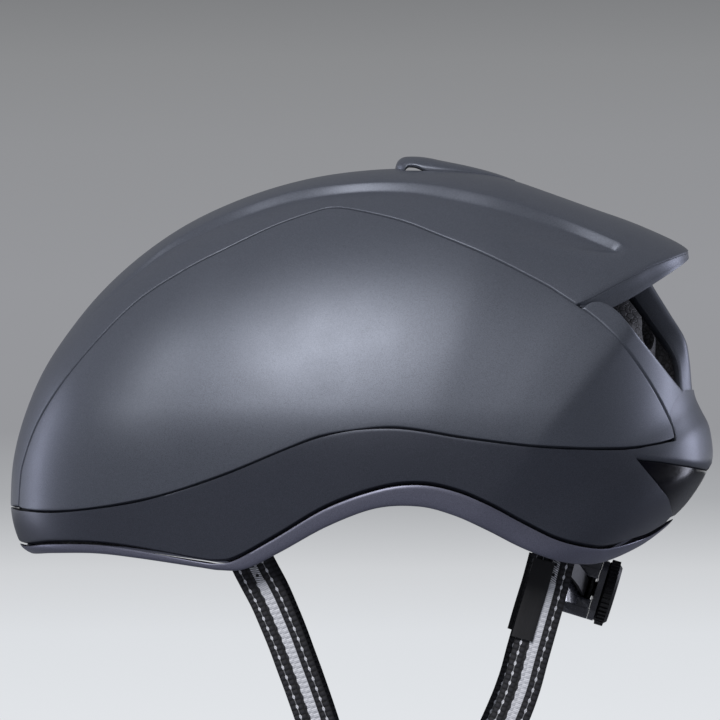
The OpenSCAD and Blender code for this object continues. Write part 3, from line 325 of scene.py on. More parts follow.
def make(name, points, faces, mat, body, slot, nodes=(), uv=None, sharp=38):
    """Object from points in mm and quads or triangles, turned outward where its volume, the sum of
    p0 . (p1 x p2) over its triangles, comes out negative. A body that is not a single name gives no parent: the
    object's transform is baked into its mesh."""
    v = np.asarray(points, float).reshape(-1, 3)
    f = np.asarray(faces, int)
    n = f.shape[1]
    volume = sum(np.einsum("ij,ij->i", v[f[:, 0]], np.cross(v[f[:, k]], v[f[:, k + 1]])).sum()
                 for k in range(1, n - 1))
    if volume < 0:
        f = f[:, ::-1]
    me = bpy.data.meshes.new(name)
    me.vertices.add(len(v))
    me.vertices.foreach_set("co", (v * MM).ravel())
    me.loops.add(f.size)
    me.loops.foreach_set("vertex_index", f.ravel())
    me.polygons.add(len(f))
    me.polygons.foreach_set("loop_start", np.arange(0, f.size, n))
    me.polygons.foreach_set("use_smooth", np.ones(len(f), bool))
    me.update(calc_edges=True)
    me.validate()
    if uv is not None:
        layer = me.uv_layers.new(name="UVMap")
        index = np.empty(len(me.loops), int)
        me.loops.foreach_get("vertex_index", index)
        layer.data.foreach_set("uv", np.asarray(uv, float).reshape(-1, 2)[index].ravel())
    me.set_sharp_from_angle(angle=math.radians(sharp))
    ob = bpy.data.objects.new(name, me)
    bpy.context.scene.collection.objects.link(ob)
    me.materials.append(mat)
    if isinstance(body, str):
        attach(ob, body)
    else:
        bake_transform(ob)
    if nodes:
        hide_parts(*nodes)
    return ob


def skin(a, b, ring=False):
    """Points and quads of the closed solid between two equal grids, a outside."""
    n, m = a.shape[:2]
    k = n * m
    q = quads(n, m, ring)
    i = np.arange(n if ring else n - 1)
    i1 = (i + 1) % n
    faces = [q, k + q[:, ::-1]]
    for e, s in ((0, 1), (m - 1, -1)):
        w = np.stack([i * m + e, i1 * m + e, k + i1 * m + e, k + i * m + e], -1)
        faces.append(w[:, ::s])
    if not ring:
        j = np.arange(m - 1)
        for e, s in ((0, -1), (n - 1, 1)):
            w = np.stack([e * m + j, e * m + j + 1, k + e * m + j + 1, k + e * m + j], -1)
            faces.append(w[:, ::s])
    return np.vstack([a.reshape(-1, 3), b.reshape(-1, 3)]), np.vstack(faces)


def mirror(part):
    """The same solid on the other side."""
    return part[0] * FLIP, part[1][:, ::-1]


def pair(name, part, *look, nodes=(), **more):
    """A piece on the right and its mirror image on the left, each instead of the given nodes of its side."""
    for side, own in (("right", part), ("left", mirror(part))):
        make(f"{name}_{side}", *own, *look, [f"{node}_{side}" for node in nodes], **more)


def both_sides(rows, ring=False):
    """Rows of the right side, then their mirror images back to the first, without it where they form a ring."""
    return np.concatenate([rows, (rows * FLIP)[-2:0 if ring else None:-1]])


def eased(sections, keep=0.8):
    """Closed sections with eased corners: each point keeps that share of its place, each side gets a midpoint."""
    n, m = sections.shape[:2]
    nxt, prv = np.roll(sections, -1, 1), np.roll(sections, 1, 1)
    part = (1 - keep) / 2
    return np.stack([sections * keep + (nxt + prv) * part, (sections + nxt) / 2], 2).reshape(n, 2 * m, 3)


def tube(rings, closed=False):
    """Points and quads through rings of points. Unless closed, each end is capped by its ring drawn to a point."""
    r = np.asarray(rings, float)
    if not closed:
        cap = r.mean(1, keepdims=True)
        r = np.concatenate([np.repeat(cap[:1], r.shape[1], 1), r, np.repeat(cap[-1:], r.shape[1], 1)])
    n, m = r.shape[:2]
    return r.reshape(-1, 3), quads(n, m, closed, True)


# Materials ---------------------------------------------------------------------------------------------
def linear(code):
    """sRGB hex to linear RGBA."""
    c = np.array([int(code[i:i + 2], 16) for i in (1, 3, 5)]) / 255
    return (*np.where(c <= 0.04045, c / 12.92, ((c + 0.055) / 1.055) ** 2.4), 1.0)


def shade(colour, k=1.0):
    """Linear colour with its three parts times k, as RGBA."""
    return (*(min(c * k, 1.0) for c in colour[:3]), 1.0)


def fill(node, *inputs, **values):
    """Fills a node: its settings by name, its inputs in their order, by name or, as _6, by number. A socket is
    linked, a hex code turned linear and anything else set as it is."""
    for key in [k for k in values if hasattr(node, k)]:
        setattr(node, key, values.pop(key))
    for key, value in [*enumerate(inputs), *values.items()]:
        if isinstance(key, str):
            key = int(key[1:]) if key[1:].isdigit() else key.replace("_", " ")
        if isinstance(value, bpy.types.NodeSocket):
            node.id_data.links.new(value, node.inputs[key])
        else:
            node.inputs[key].default_value = linear(value) if isinstance(value, str) else value


def add(tree, kind, *inputs, out=0, **values):
    """Adds a node of a kind, such as TexNoise or Math:SINE, fills it and gives one of its outputs. A Mix of
    colours takes them at _6 and _7 and gives its result at out=2."""
    kind, _, operation = kind.partition(":")
    node = tree.nodes.new("ShaderNode" + kind)
    if operation:
        node.operation = operation
    fill(node, *inputs, **values)
    return node.outputs[out]


def begin(name):
    """A new material with its shader and the function that adds its nodes."""
    mat = bpy.data.materials.new(name)
    mat.use_nodes = True
    return mat, mat.node_tree.nodes["Principled BSDF"], functools.partial(add, mat.node_tree)


def mat_paint(name, colour, rough, k=(0.82, 1.3), rear=None):
    """Sprayed satin metallic paint. Its 0.3 mm flake, drawn coarser than the real one to show, gives a soft
    silvery grain, and a 1.4 mm orange peel breaks the highlight a little. With rear given, the colour is the paint
    darkened as painted shade, and it goes over to the rear colour behind x = 100 to 128 mm and above z = -88 to -72
    mm, where the lower shell turns up to the bumper and the painted shade ends."""
    mat, bsdf, n = begin(name)
    place = n("TexCoord", out="Object")
    grain = n("TexNoise", place, Scale=1000 / 0.3, Detail=1.0)
    cloud = n("TexNoise", place, Scale=1000 / 22, Detail=3.0)
    flake = n("MapRange", grain, 0.3, 0.7)
    dark, light = shade(colour, k[0]), shade(colour, k[1])
    tone = n("Mix", flake, _6=dark, _7=light, data_type="RGBA", out=2)
    # Painted shade: with rear given, the darker colour is shade painted on the band, and share blends it out to the
    # shell's own colour at the bumper
    if rear is not None:
        x = n("SeparateXYZ", place)
        share = n("Math:MULTIPLY", n("MapRange", x, 0.100, 0.128), n("MapRange", x.node.outputs[2], -0.088, -0.072))
        other = n("Mix", flake, _6=shade(rear, k[0]), _7=shade(rear, k[1]), data_type="RGBA", out=2)
        tone = n("Mix", share, _6=tone, _7=other, data_type="RGBA", out=2)
    peel = n("Bump", Strength=0.15, Distance=0.006 * MM, Height=grain)
    fill(bsdf, Metallic=0.5, Coat_Weight=0.1, Coat_Roughness=0.3, IOR=1.5,
         Base_Color=n("Mix", n("MapRange", cloud, 0.3, 0.7, 0.0, 0.12), _6=tone, _7=dark, data_type="RGBA", out=2),
         Roughness=n("MapRange", cloud, 0.3, 0.7, rough - 0.02, rough + 0.03),
         Normal=n("Bump", Strength=0.4, Distance=0.01 * MM, Normal=peel,
                  Height=n("TexNoise", place, Scale=1000 / 1.4, Detail=2.0)))
    return mat


def mat_moulded(name, dark, light, rough, grain_mm=0.25, depth=0.03, **extra):
    """Injection moulded plastic, or turned metal with Metallic: a grain of that many millimetres, as deep as
    depth, dulls the highlight unevenly, and 6 mm clouds keep the colour from looking flat."""
    mat, bsdf, n = begin(name)
    place = n("TexCoord", out="Object")
    grain = n("TexNoise", place, Scale=1000 / grain_mm, Detail=2.0)
    cloud = n("MapRange", n("TexNoise", place, Scale=1000 / 6, Detail=3.0), 0.3, 0.7)
    fill(bsdf, IOR=1.5, Base_Color=n("Mix", cloud, _6=dark, _7=light, data_type="RGBA", out=2),
         Roughness=n("MapRange", grain, 0.3, 0.7, rough - 0.04, rough + 0.05),
         Normal=n("Bump", Strength=0.6, Distance=depth * MM, Height=grain), **extra)
    return mat


def mat_foam():
    """Expanded polystyrene, steam moulded: beads of 2.1 mm pressed flat together, each a slightly other grey,
    with darker sunk joints that read as a fine net."""
    mat, bsdf, n = begin("bead_foam")
    place = n("TexCoord", out="Object")
    edge = n("MapRange", n("TexVoronoi", place, feature="DISTANCE_TO_EDGE", Scale=1000 / 2.1), 0.0, 0.2)
    bead = n("TexVoronoi", place, Scale=1000 / 2.1, out="Color")
    bead = n("Mix", bead, _6="#2b2a2e", _7="#403f44", data_type="RGBA", out=2)
    fill(bsdf, Base_Color=n("Mix", edge, _6="#1a1a1d", _7=bead, data_type="RGBA", out=2), Roughness=0.6, IOR=1.45,
         Normal=n("Bump", Strength=0.7, Distance=0.2 * MM, Height=edge))
    return mat


def mat_knit():
    """Brushed polyester knit over thin foam: loops 0.8 mm apart on a fuzzy dark ground with a dull sheen."""
    mat, bsdf, n = begin("pad_knit")
    place = n("TexCoord", out="Object")
    rows = [n("TexWave", place, wave_type="BANDS", bands_direction=axis, wave_profile="SIN",
              Scale=1000 / 0.8 / 3.2, Distortion=0.6, out="Fac") for axis in "XZ"]
    knit = n("Math:MULTIPLY", *rows)
    fill(bsdf, Base_Color=n("Mix", knit, _6="#101012", _7="#2a2a2e", data_type="RGBA", out=2), Roughness=0.9,
         Sheen_Weight=0.35, Sheen_Roughness=0.5, Normal=n("Bump", Strength=0.8, Distance=0.2 * MM, Height=knit))
    return mat


# Webbing: pitch of its dashes in mm, and where its two dash rows and its lace lie across, as shares
PITCH, ROWS, LACE = 4.17, (0.19, 0.83), 0.47


def mat_web(name, stripe=None):
    """Woven polyester webbing: rows of raised blocks on black. UV across is 0 to 1 and UV along is in mm. With
    a stripe colour it gets two rows of pale lens-shaped dashes on a thin stitch, and between them a reflective
    band that shines as pale cloth, with one scalloped side and a laced upper end."""
    mat, bsdf, n = begin(name)
    u = n("SeparateXYZ", n("TexCoord", out="UV"))
    v = u.node.outputs[1]

    def wave(source, step, phase=0.0):
        """Sine of that step, from 0 to 1."""
        turn = n("Math:MULTIPLY_ADD", source, 2 * math.pi / step, phase)
        return n("Math:MULTIPLY_ADD", n("Math:SINE", turn), 0.5, 0.5)

    def near(centre, half):
        """Distance from centre across, as a share of half."""
        return n("Math:DIVIDE", n("Math:ABSOLUTE", n("Math:SUBTRACT", u, centre)), half)

    def fold(part):
        """Distance of a running count from the middle of each step, as a share of half a step."""
        return n("Math:ABSOLUTE", n("Math:MULTIPLY_ADD", n("Math:FRACT", part), 2.0, -1.0))

    def square(source, k):
        """(source / k) squared."""
        return n("Math:POWER", n("Math:DIVIDE", source, k), 2.0)

    fine = wave(v, 0.42)
    if stripe is None:
        fill(bsdf, Base_Color=n("Mix", fine, _6="#111115", _7="#1d1d22", data_type="RGBA", out=2), Roughness=0.7,
             Sheen_Weight=0.1, Normal=n("Bump", Strength=0.6, Distance=0.05 * MM, Height=fine))
        return mat
    turn = n("Math:MULTIPLY", n("Math:FLOOR", n("Math:MULTIPLY", u, 6.0)), math.pi / 2)
    block = n("Math:POWER", wave(v, PITCH / 2, turn), 0.5)
    across = n("Math:POWER", wave(u, 1 / 6, -math.pi / 2), 0.35)
    weave = n("Math:MULTIPLY_ADD", fine, 0.12, n("Math:MULTIPLY", n("Math:MULTIPLY", block, across), 0.88))
    beat = fold(n("Math:DIVIDE", v, PITCH))
    lens = n("Math:SUBTRACT", 1.0, square(beat, 0.52))
    dash = n("Math:MAXIMUM", *(n("Math:SUBTRACT", lens, near(row, 0.034)) for row in ROWS))
    stitch = n("Math:MINIMUM", *(near(row, 0.01) for row in ROWS))
    stitch = n("Math:MULTIPLY", n("MapRange", stitch, 0.8, 1.2, 1.0, 0.0), 0.35)
    scallop = n("Math:MULTIPLY_ADD", n("Math:POWER", wave(v, PITCH), 0.6), 0.028, 0.585)
    band = n("Math:MULTIPLY", n("MapRange", n("Math:SUBTRACT", scallop, u), 0.0, 0.012),
             n("MapRange", u, 0.345, 0.357))
    oval = n("Math:ADD", n("Math:POWER", near(LACE, 0.042), 2.0), square(beat, 0.34))
    lace = n("Math:MULTIPLY", n("MapRange", near(LACE, 0.1), 0.95, 1.05, 1.0, 0.0), n("MapRange", oval, 0.8, 1.2))
    slant = fold(n("Math:ADD", n("Math:DIVIDE", v, 0.83), n("Math:MULTIPLY", u, 7.0)))
    lace = n("Math:MULTIPLY", lace, n("MapRange", slant, 0.25, 0.45))
    upper = n("MapRange", v, 17.0, 18.5, 1.0, 0.0)
    band = n("Math:ADD", n("Math:MULTIPLY", lace, upper),
             n("Math:MULTIPLY", band, n("Math:SUBTRACT", 1.0, upper)))
    pale = n("Math:MAXIMUM", n("Math:MAXIMUM", n("MapRange", dash, -0.05, 0.12), band), stitch)
    ground = n("Mix", weave, _6="#08080b", _7="#2a2a32", data_type="RGBA", out=2)
    white = n("Mix", wave(v, 0.73), _6=shade(stripe, 0.68), _7=shade(stripe), data_type="RGBA", out=2)
    fill(bsdf, Base_Color=n("Mix", pale, _6=ground, _7=white, data_type="RGBA", out=2), Roughness=0.75,
         Sheen_Weight=0.1, Normal=n("Bump", Strength=0.9, Distance=0.35 * MM, Height=weave))
    return mat


# Finished materials by their short names, and the short name for each slot of the frame
MATS = {}
# Nodes with the dark_shell slot get the band paint, which is the shell's paint darker as painted shade
DRESS = {"black_foam": "foam", "pad_fabric": "knit", "moulded_black": "nylon", "dial_black": "rubber",
         "steel": "steel", "keeper_rubber": "rubber", "webbing": "patch", "gloss_black": "gloss",
         "dark_shell": "band", "graphite_shell": "paint"}


def materials(look):
    """All materials, from the colours of the add-on's settings."""
    MATS["paint"] = mat_paint("graphite_paint", look.shell_colour, 0.42)
    # The band is the shell's paint drawn darker as painted shade, going back to the shell colour at the bumper
    MATS["band"] = mat_paint("band_shaded_paint", look.band_shaded_colour, 0.42, rear=look.shell_colour)
    MATS["rim"] = mat_paint("rim_paint", look.rim_colour, 0.4, (0.85, 1.25))
    MATS["gloss"] = mat_moulded("gloss_insert", shade(look.insert_colour, 0.8), shade(look.insert_colour, 1.2), 0.2,
                                1.5, 0.004, Specular_IOR_Level=0.12)
    MATS["foam"] = mat_foam()
    MATS["knit"] = mat_knit()
    MATS["nylon"] = mat_moulded("textured_nylon", "#17171a", "#202024", 0.5)
    MATS["rubber"] = mat_moulded("dial_rubber", "#131316", "#1e1e22", 0.5, 0.4, 0.05)
    MATS["housing"] = mat_moulded("smoked_nylon", "#3a3b43", "#4c4d57", 0.24, 0.6, 0.02, Coat_Weight=0.6)
    MATS["steel"] = mat_moulded("plain_steel", "#8a8d92", "#a5a8ad", 0.3, 0.4, 0.01, Metallic=1.0)
    MATS["web"] = mat_web("webbing_striped", look.stripe_colour)
    MATS["patch"] = mat_web("webbing_plain")


# Shells ------------------------------------------------------------------------------------------------
# Ends of the middle line as (x, z), and rows of the band round its rear corner and to each span of its edges
NOSE, TIP = (-139.5, -98.2), (131.5, 4)
CORNER_ROWS, SPAN_ROWS = 23, 14


def crown_parts():
    """Crown skin: ribs from seam to seam. A rib's fan angle is e0 + (e1 - e0) (b / s)^2, with e0 on the middle
    line and (e1, s) on the seam or the trailing edge. Columns follow both creases of the spine's bevel."""
    up = along(smooth(SEAM_UP), np.concatenate([[0, 0.0004, 0.0015], np.linspace(0.004, 1, 300)[:-1]]))
    tail = along(smooth(TAIL_EDGE), np.concatenate([np.linspace(0, 0.985, 90), [0.992, 0.997, 1.0]]))
    f = fan_point(np.vstack([up, tail]))
    e1, s = f[:, :1], np.maximum(f[:, 1:], 0.5)
    first, last = fan(NOSE)[0], fan(TIP)[0]
    e0 = first + (e1 - e1[0]) * (last - first) / (e1[-1] - e1[0])

    def meets(crease):
        """Side angles at which the ribs cross a crease, found by repeated substitution."""
        b = crease(e0)
        for _ in range(12):
            b = crease(e0 + (e1 - e0) * np.minimum(b / s, 1) ** 2)
        return b

    a = np.minimum(meets(crease_a), s * 0.8)
    b = np.maximum(np.minimum(meets(crease_b), s * 0.88), a + 0.01 * s)
    w = b - a
    half = np.concatenate([np.maximum(a - 0.12 * w, 0) * np.linspace(0, 1, 12),
                           a + w * np.array([0, 0.08, 0.2, 0.35, 0.5, 0.65, 0.8, 0.92, 1]), b + w * 0.12,
                           b + 0.12 * w + (s - b - 0.12 * w)
                           * np.concatenate([np.linspace(0, 0.985, 24)[1:], [0.992, 0.997, 1]])], 1)
    cols = np.concatenate([-half[:, :0:-1], half], 1)
    e = e0 + (e1 - e0) * (cols / s) ** 2
    flat = on(e, cols)
    edges = borders(flat)
    side = np.minimum(*edges[:2])
    behind = np.arange(len(f))[:, None] - len(up)
    # The mouth below the hood, the eased trailing edge, and the skin that thickens along it to 4 mm
    mouth = 9 * ramp(17, 19, flat[..., 0]) * (1 - ramp(29, 33, flat[..., 0]))
    off = -roll(np.minimum.reduce(edges), EDGE) - mouth * (1 - ramp(12, 14.5, np.abs(flat[..., 1])))
    off = off - 0.45 * np.maximum(1 - side / 5, 0) ** 2 * ramp(0, 14, behind)
    deep = DEPTH + (4 - DEPTH) * ramp(0, 38, behind)
    return skin(on(e, cols, off), on(e, cols, np.minimum(-deep, off - 1.2)))


def hood_parts():
    """Vent hood: superelliptic sections over the spine, closed in front, with an arched opening low on each
    side. Height over the crown is h |cos a|^(2/p) at y = w |sin a|^(2/p)."""
    p = 2.5
    line = along(smooth(HOOD), np.linspace(0, 1, 90) ** 1.5)
    x = line[:, :1]
    e, r = fan(line).T[..., None]
    h = np.maximum(r - np.interp(e, ANGLES, RADII), 0.02)
    nose = np.clip((x - x[0]) / 9, 0, 1)
    w = (2 + 12 * np.sqrt(1 - (1 - nose) ** 2)) * (1 - 0.35 * ramp(30, 62, x))
    arch = 2.3 * ramp(17, 20, x) * (1 - ramp(21.5, 30, x))
    a = np.arccos(np.clip((arch / h) ** (p / 2), 0, 0.96)) * np.sin(np.linspace(-np.pi / 2, np.pi / 2, 61))
    y = w * np.sign(a) * np.abs(np.sin(a)) ** (2 / p)
    up = h * np.abs(np.cos(a)) ** (2 / p) - 0.35 * (np.abs(a) / (np.pi / 2)) ** 10 + 0.02
    b = np.degrees(np.arctan2(y, r))
    d = np.minimum(*borders(on(e, b))[:2])
    return skin(on(e, b, up - roll(d, 0.3)), on(e, b * 0.97, up - 1.1))


def tail_parts():
    """Deep face of the trailing edge: sections from the crown's edge down to the tail's lower line and in
    under the crown, swept from the right panel round the tip to the left one."""
    rows, turns = 110, 24
    t = np.concatenate([np.linspace(0.03, 1, rows), np.ones(turns)])
    edge, low = along(smooth(TAIL_EDGE), t), along(smooth(TAIL_LOW), t)
    f = fan_point(edge)
    turn = np.concatenate([np.zeros(rows), np.linspace(0, 1, turns + 1)[1:]])
    f[:, 0] += (fan(TIP)[0] - f[:, 0]) * turn * (2 - turn)
    f[:, 1] *= 1 - turn
    top, mid = at(f, -0.3), at(f, -1.0)
    drop = np.insert(low - edge, 1, 0, axis=1)
    out = np.sign(top[:, 1:2]) * [0, 1, 0] * np.minimum(np.abs(top[:, 1:2]) / 14, 1)
    back = np.array([-1.0, 0, 0.45])
    foot = top + drop
    ring = np.stack([mid - 0.6 * out, top - 0.35 * out, top + drop * 0.12 - 0.1 * out, (top + foot) / 2 - 0.9 * out,
                     foot - 0.4 * out - 0.1 * drop, foot - 0.8 * out, foot - 3 * out + 1.5 * back,
                     foot - 8 * out + 7 * back, mid - 8 * out + 5 * np.array([-1.0, 0, -0.3]),
                     mid - 3 * out - [1, 0, 1.5]], 1)
    return tube(both_sides(eased(ring)))


def panel_parts(gap):
    """Side panel between the seams, a joint's width inside them and 0.3 mm below the crown."""
    def even(n):
        """Fractions that lie closer at both ends: (1 - cos) / 2."""
        return 0.5 - 0.5 * np.cos(np.linspace(0, np.pi, n))

    hi = fan_point(np.vstack([along(smooth(SEAM_UP), even(220)),
                              along(smooth(SEAM_BACK), np.linspace(0, 1, 70)[1:])]))
    lo = fan_point(along(smooth(SEAM_LO), even(len(hi))))[3:-3]
    hi = hi[3:-3]
    w = np.linalg.norm(at(lo) - at(hi), axis=-1)
    k = np.minimum(gap / np.maximum(w, 1e-6), 0.3)[:, None]
    f = lo[:, None] + (hi - lo)[:, None] * (k + (1 - 2 * k) * edge_steps(40, 60, EDGE))[..., None]
    return skin(at(f, -0.3 - roll(np.minimum.reduce(borders(at(f))), EDGE)), at(f, -DEPTH))


def edge_eb(points, start=False, end=False):
    """Fine edge as (fan angle, side angle), with its first or last point on the middle plane."""
    f = fan_point(smooth(points, SPAN_ROWS))
    if start:
        f[0, 1] = 0
    if end:
        f[-1, 1] = 0
    return f


def foot_side():
    """Side view points of the wedge's two foot corners."""
    return at(np.array(WEDGE_FOOT))[:, [0, 2]]


def diagonal():
    """Upper edge of the wedge down to its foot, as (fan angle, side angle): a smooth side view line."""
    f = fan_point(smooth(np.vstack([WEDGE_HI, foot_side()[1:]]), 16))
    f[-1] = WEDGE_FOOT[1]
    return f


def band_parts():
    """Lower shell's band from the nose to the rear corner and round the bumper, a groove's width above the rim."""
    corner_a, corner_b = fan_point(BAND_LO[-1]), fan_point(BUMPER_LO[0])
    t = np.linspace(0, 1, CORNER_ROWS + 1)[1:, None]
    groove, low = smooth(GROOVE), smooth(BAND_LO, SPAN_ROWS)
    low[:, 1] = np.interp(low[:, 0], groove[:, 0], groove[:, 1]) + GROOVE_GAP
    low = fan_point(low)
    low[0, 1] = 0
    low[-1] = corner_a
    hi = np.vstack([edge_eb(BAND_HI, start=True), along(fan_point(smooth(CORNER_HI)), t[:, 0]),
                    edge_eb(BUMPER_HI, end=True)[1:]])
    lo = np.vstack([low, corner_a + (corner_b - corner_a) * t, edge_eb(BUMPER_LO, end=True)[1:]])
    f = between(lo, hi, edge_steps(22, 30, EDGE))
    from_lo, from_hi = borders(at(f))[:2]
    # Rows counted from the corner: its lower edge runs on into the wedge, and the port opens over the bumper
    row = np.arange(len(lo))[:, None] - len(low)
    inner = (row > -1) & (row < CORNER_ROWS - 1)
    open_top = row > CORNER_ROWS + 3 * SPAN_ROWS
    lip = EDGE + 1.7 * ramp(CORNER_ROWS - 2, CORNER_ROWS + 13, row)
    dent = np.maximum(np.where(inner, 0, roll(from_lo, lip)), np.where(open_top, 0, roll(from_hi, EDGE)))
    return skin(both_sides(at(f, -dent), True), both_sides(at(f, np.minimum(-DEPTH, -dent - 1)), True), True)


def wedge_parts():
    """Wedge of the lower shell, from the band's rear corner down to its foot on the rim."""
    b = diagonal()
    a = fan_point(along(smooth(np.vstack([WEDGE_LO, foot_side()[:1]]), 16), np.linspace(0, 1, len(b))))
    a[-1] = WEDGE_FOOT[0]
    f = between(a, b, edge_steps(18, 30, EDGE))
    return skin(at(f, -roll(np.minimum(*borders(at(f))[:2]), EDGE)), at(f, -DEPTH))


def rail_parts():
    """Rear rail: flush strip between the panel's rear seam and the exhaust port, its inner edge well rounded.
    Its foot runs just under the bumper, so that both read as one skin."""
    t = np.linspace(0, 1, 90)
    steps = np.concatenate([[0, 0.02, 0.05, 0.1], np.linspace(0.18, 0.7, 9), [0.78, 0.85, 0.9, 0.94, 0.97, 0.99, 1]])
    f = between(*(fan_point(along(smooth(edge), t)) for edge in (RAIL_OUT, RAIL_IN)), steps)
    out, port, top = borders(at(f))[:3]
    off = -0.05 - roll(out, EDGE) - roll(port, 2.2) - roll(top, 1.6)
    return skin(at(f, off), at(f, np.minimum(off - 1.4, -4.5)))


def strut_parts():
    """Centre strut: a ridge along its silhouette, a slanting face on each side down to the port's inner line,
    and a return that runs in from there."""
    t = np.linspace(0, 1, 90)
    w = np.interp(t, np.linspace(0, 1, len(STRUT_HALF)), STRUT_HALF)
    k = np.array([0, 0.02, 0.1, 0.55, 0.96, 1.06, 1.42, 1.5])
    y = np.array([0, 0.3, 0.5, 0.78, 1.0, 0.99, 0.72, 0.0])
    k, y = np.concatenate([k, k[-2:0:-1]]), np.concatenate([y, -y[-2:0:-1]])
    side = between(along(smooth(STRUT), t), along(smooth(STRUT_IN), t), k)
    return tube(eased(np.stack([side[..., 0], w[:, None] * y, side[..., 1]], -1)))


def behind_strut(t, share):
    """Side view points that share of the way from the strut's silhouette through its inner line."""
    out, inn = along(smooth(STRUT), t), along(smooth(STRUT_IN), t)
    return out + (inn - out) * share


def keel_parts():
    """Foam keel that stands behind the strut between the two exhaust ports: a section of k forward from its
    rear line and y across, carried down the strut."""
    t = np.linspace(0, 1, 50)
    rear = behind_strut(t, 1.3)
    front = rear + np.array([-26, -9]) * (1 - 0.25 * t[:, None])
    k = np.array([0, 0.06, 0.5, 1, 1, 0.5, 0.06, 0])
    y = np.array([9, 10.5, 13, 14.8, -14.8, -13, -10.5, -9])
    side = between(rear, front, k)
    return tube(np.stack([side[..., 0], np.broadcast_to(y, side.shape[:2]), side[..., 1]], -1))


def foam_parts():
    """Liner mesh with its rear tip held in front of the strut's inner line, so that the strut stands clear."""
    v, f = node_parts("eps_liner")
    line = behind_strut(np.linspace(0, 1, 200), 1.38)
    order = np.argsort(line[:, 1])
    limit = np.interp(v[:, 2], line[order, 1], line[order, 0])
    held = (v[:, 2] > -58) & (v[:, 2] < -3) & (v[:, 0] > limit) & (v[:, 0] > 96) & (np.abs(v[:, 1]) < 60)
    v[held, 0] = limit[held]
    return v, f


def insert_parts():
    """Gloss insert, a joint's width inside the opening between the bumper and the diagonal edge."""
    foot = np.vstack([diagonal(), [(157.5, 11), (157.75, 7.5), (157.85, 4), (157.85, 0)]])
    t = np.linspace(0.03, 1, 90)
    lo = along(at(foot), t, foot) + [-0.15, -0.3]
    hi = along(edge_eb(BUMPER_LO, end=True), t) + [0.2, -0.05]
    lo[-1, 1] = hi[-1, 1] = 0
    f = between(lo, hi, edge_steps(14, 25, 0.4))
    d = np.minimum(*borders(at(f))[:2])
    return skin(both_sides(at(f, -1.1 - roll(d, 0.4))), both_sides(at(f, -3.2)))


def rim_parts():
    """Rim: a moulded angle swept round the lower edge, its corners rounded by a closed smooth section."""
    t = np.linspace(0, 1, 260)
    g, lw = along(smooth(GROOVE), t), along(smooth(RIM_LOW), t)
    top = g + (lw - g) * np.minimum(0.9 / np.linalg.norm(lw - g, axis=1), 0.4)[:, None]
    mid = (top + lw) / 2

    def level(p, off):
        """Points of the surface along a side view line, with both ends on the middle plane."""
        f = fan_point(p)
        f[0, 1] = f[-1, 1] = 0
        return at(f, off)

    e = level(lw, 0.2)
    # Inward is square to an ellipse of half lengths 130 and 92 mm
    inward = -unit(np.stack([(e[:, 0] + 4) / 130**2, e[:, 1] / 92**2, 0 * e[:, 0]], -1))
    foot = [(0.25, 0), (1.2, -0.2), (5.5, 0.5), (5.7, 1.4), (5.3, 2.5), (2, 2.2)]
    ring = np.stack([level(top, 0.3), level((top + mid) / 2, 0.65), level(mid, 0.75), level((mid + lw) / 2, 0.65),
                     *(e + a * inward + [0, 0, z] for a, z in foot), level(mid, -1.7), level(top, -2.0)], 1)
    return tube(both_sides(eased(ring, 0.75), True), True)


# Straps and soft pieces --------------------------------------------------------------------------------
# Right side paths of the webbing, and the outward sides of the chin strap
FRONT_PATH = [(-46.6, 77.5, -111.6), (-43.8, 77.5, -119), (-40.5, 77.4, -125.5), (-36, 77.2, -134),
              (-32.5, 76.9, -142), (-29, 76.5, -150.5), (-25.5, 76, -160), (-22, 75.4, -169.5), (-17, 74.6, -184),
              (-10, 73.4, -206), (-3, 72.2, -230), (1.8, 71.6, -247), (2.5, 71.5, -254), (2.5, 71.5, -264)]
REAR_PATH = [(79.3, 62.5, -110.6), (77.3, 62.5, -119), (74.2, 63.9, -131.5), (70.4, 64.5, -145),
             (67, 65, -157), (63.4, 65.6, -170), (57.9, 66.2, -184), (47, 67.2, -207), (34, 68.1, -229),
             (22.5, 68.5, -243.5), (17, 68.5, -251.5), (16.5, 68.5, -264)]
PATCH_PATH = [(72.8, 64.8, -119), (70, 65.1, -129.5), (66.8, 65.6, -140), (63.9, 66, -150)]
CHIN_PATH = [(9.5, 70, -270), (9.4, 69.8, -279), (8.6, 66, -290), (7.2, 57, -300), (5.6, 44, -308),
             (4.4, 32, -311.6), (4, 24, -312), (4, 18.5, -312)]
CHIN_SIDE = [(0, 1, 0), (0, 1, -0.1), (0, 0.85, -0.5), (0, 0.65, -0.75), (0, 0.4, -0.92), (0, 0.12, -1),
             (0, 0, -1), (0, 0, -1)]
# Two bodies and a point of each for the right half of the chin strap, from the keeper's side to the tongue; make
# gives it no parent and bakes its transform
CHIN_BEND = ("helmet", "tongue", (9, 68, -285), (4.2, 28, -311.8))

# Head cavity of the liner: centre and half lengths of the ellipsoid, upright below its centre, and the gap
# between the foam and a pad's back
CAVITY_X, CAVITY_Z = -4.0, -95.0
CAVITY = np.array([103.0, 79.0, 100.0])
PAD_GAP = 0.95
ARM_PATH = [(84.2, 24, -130.3), (79.8, 33.5, -129), (74.2, 41.5, -127.5), (70, 46.5, -126.5)]
ARM_SIDE = [(0.98, 0.3, 0), (0.87, 0.55, 0), (0.76, 0.7, 0), (0.72, 0.75, 0)]
NAPE_LENGTH, NAPE_WIDTH, ARM_HALF = 30, 15.6, 1.75


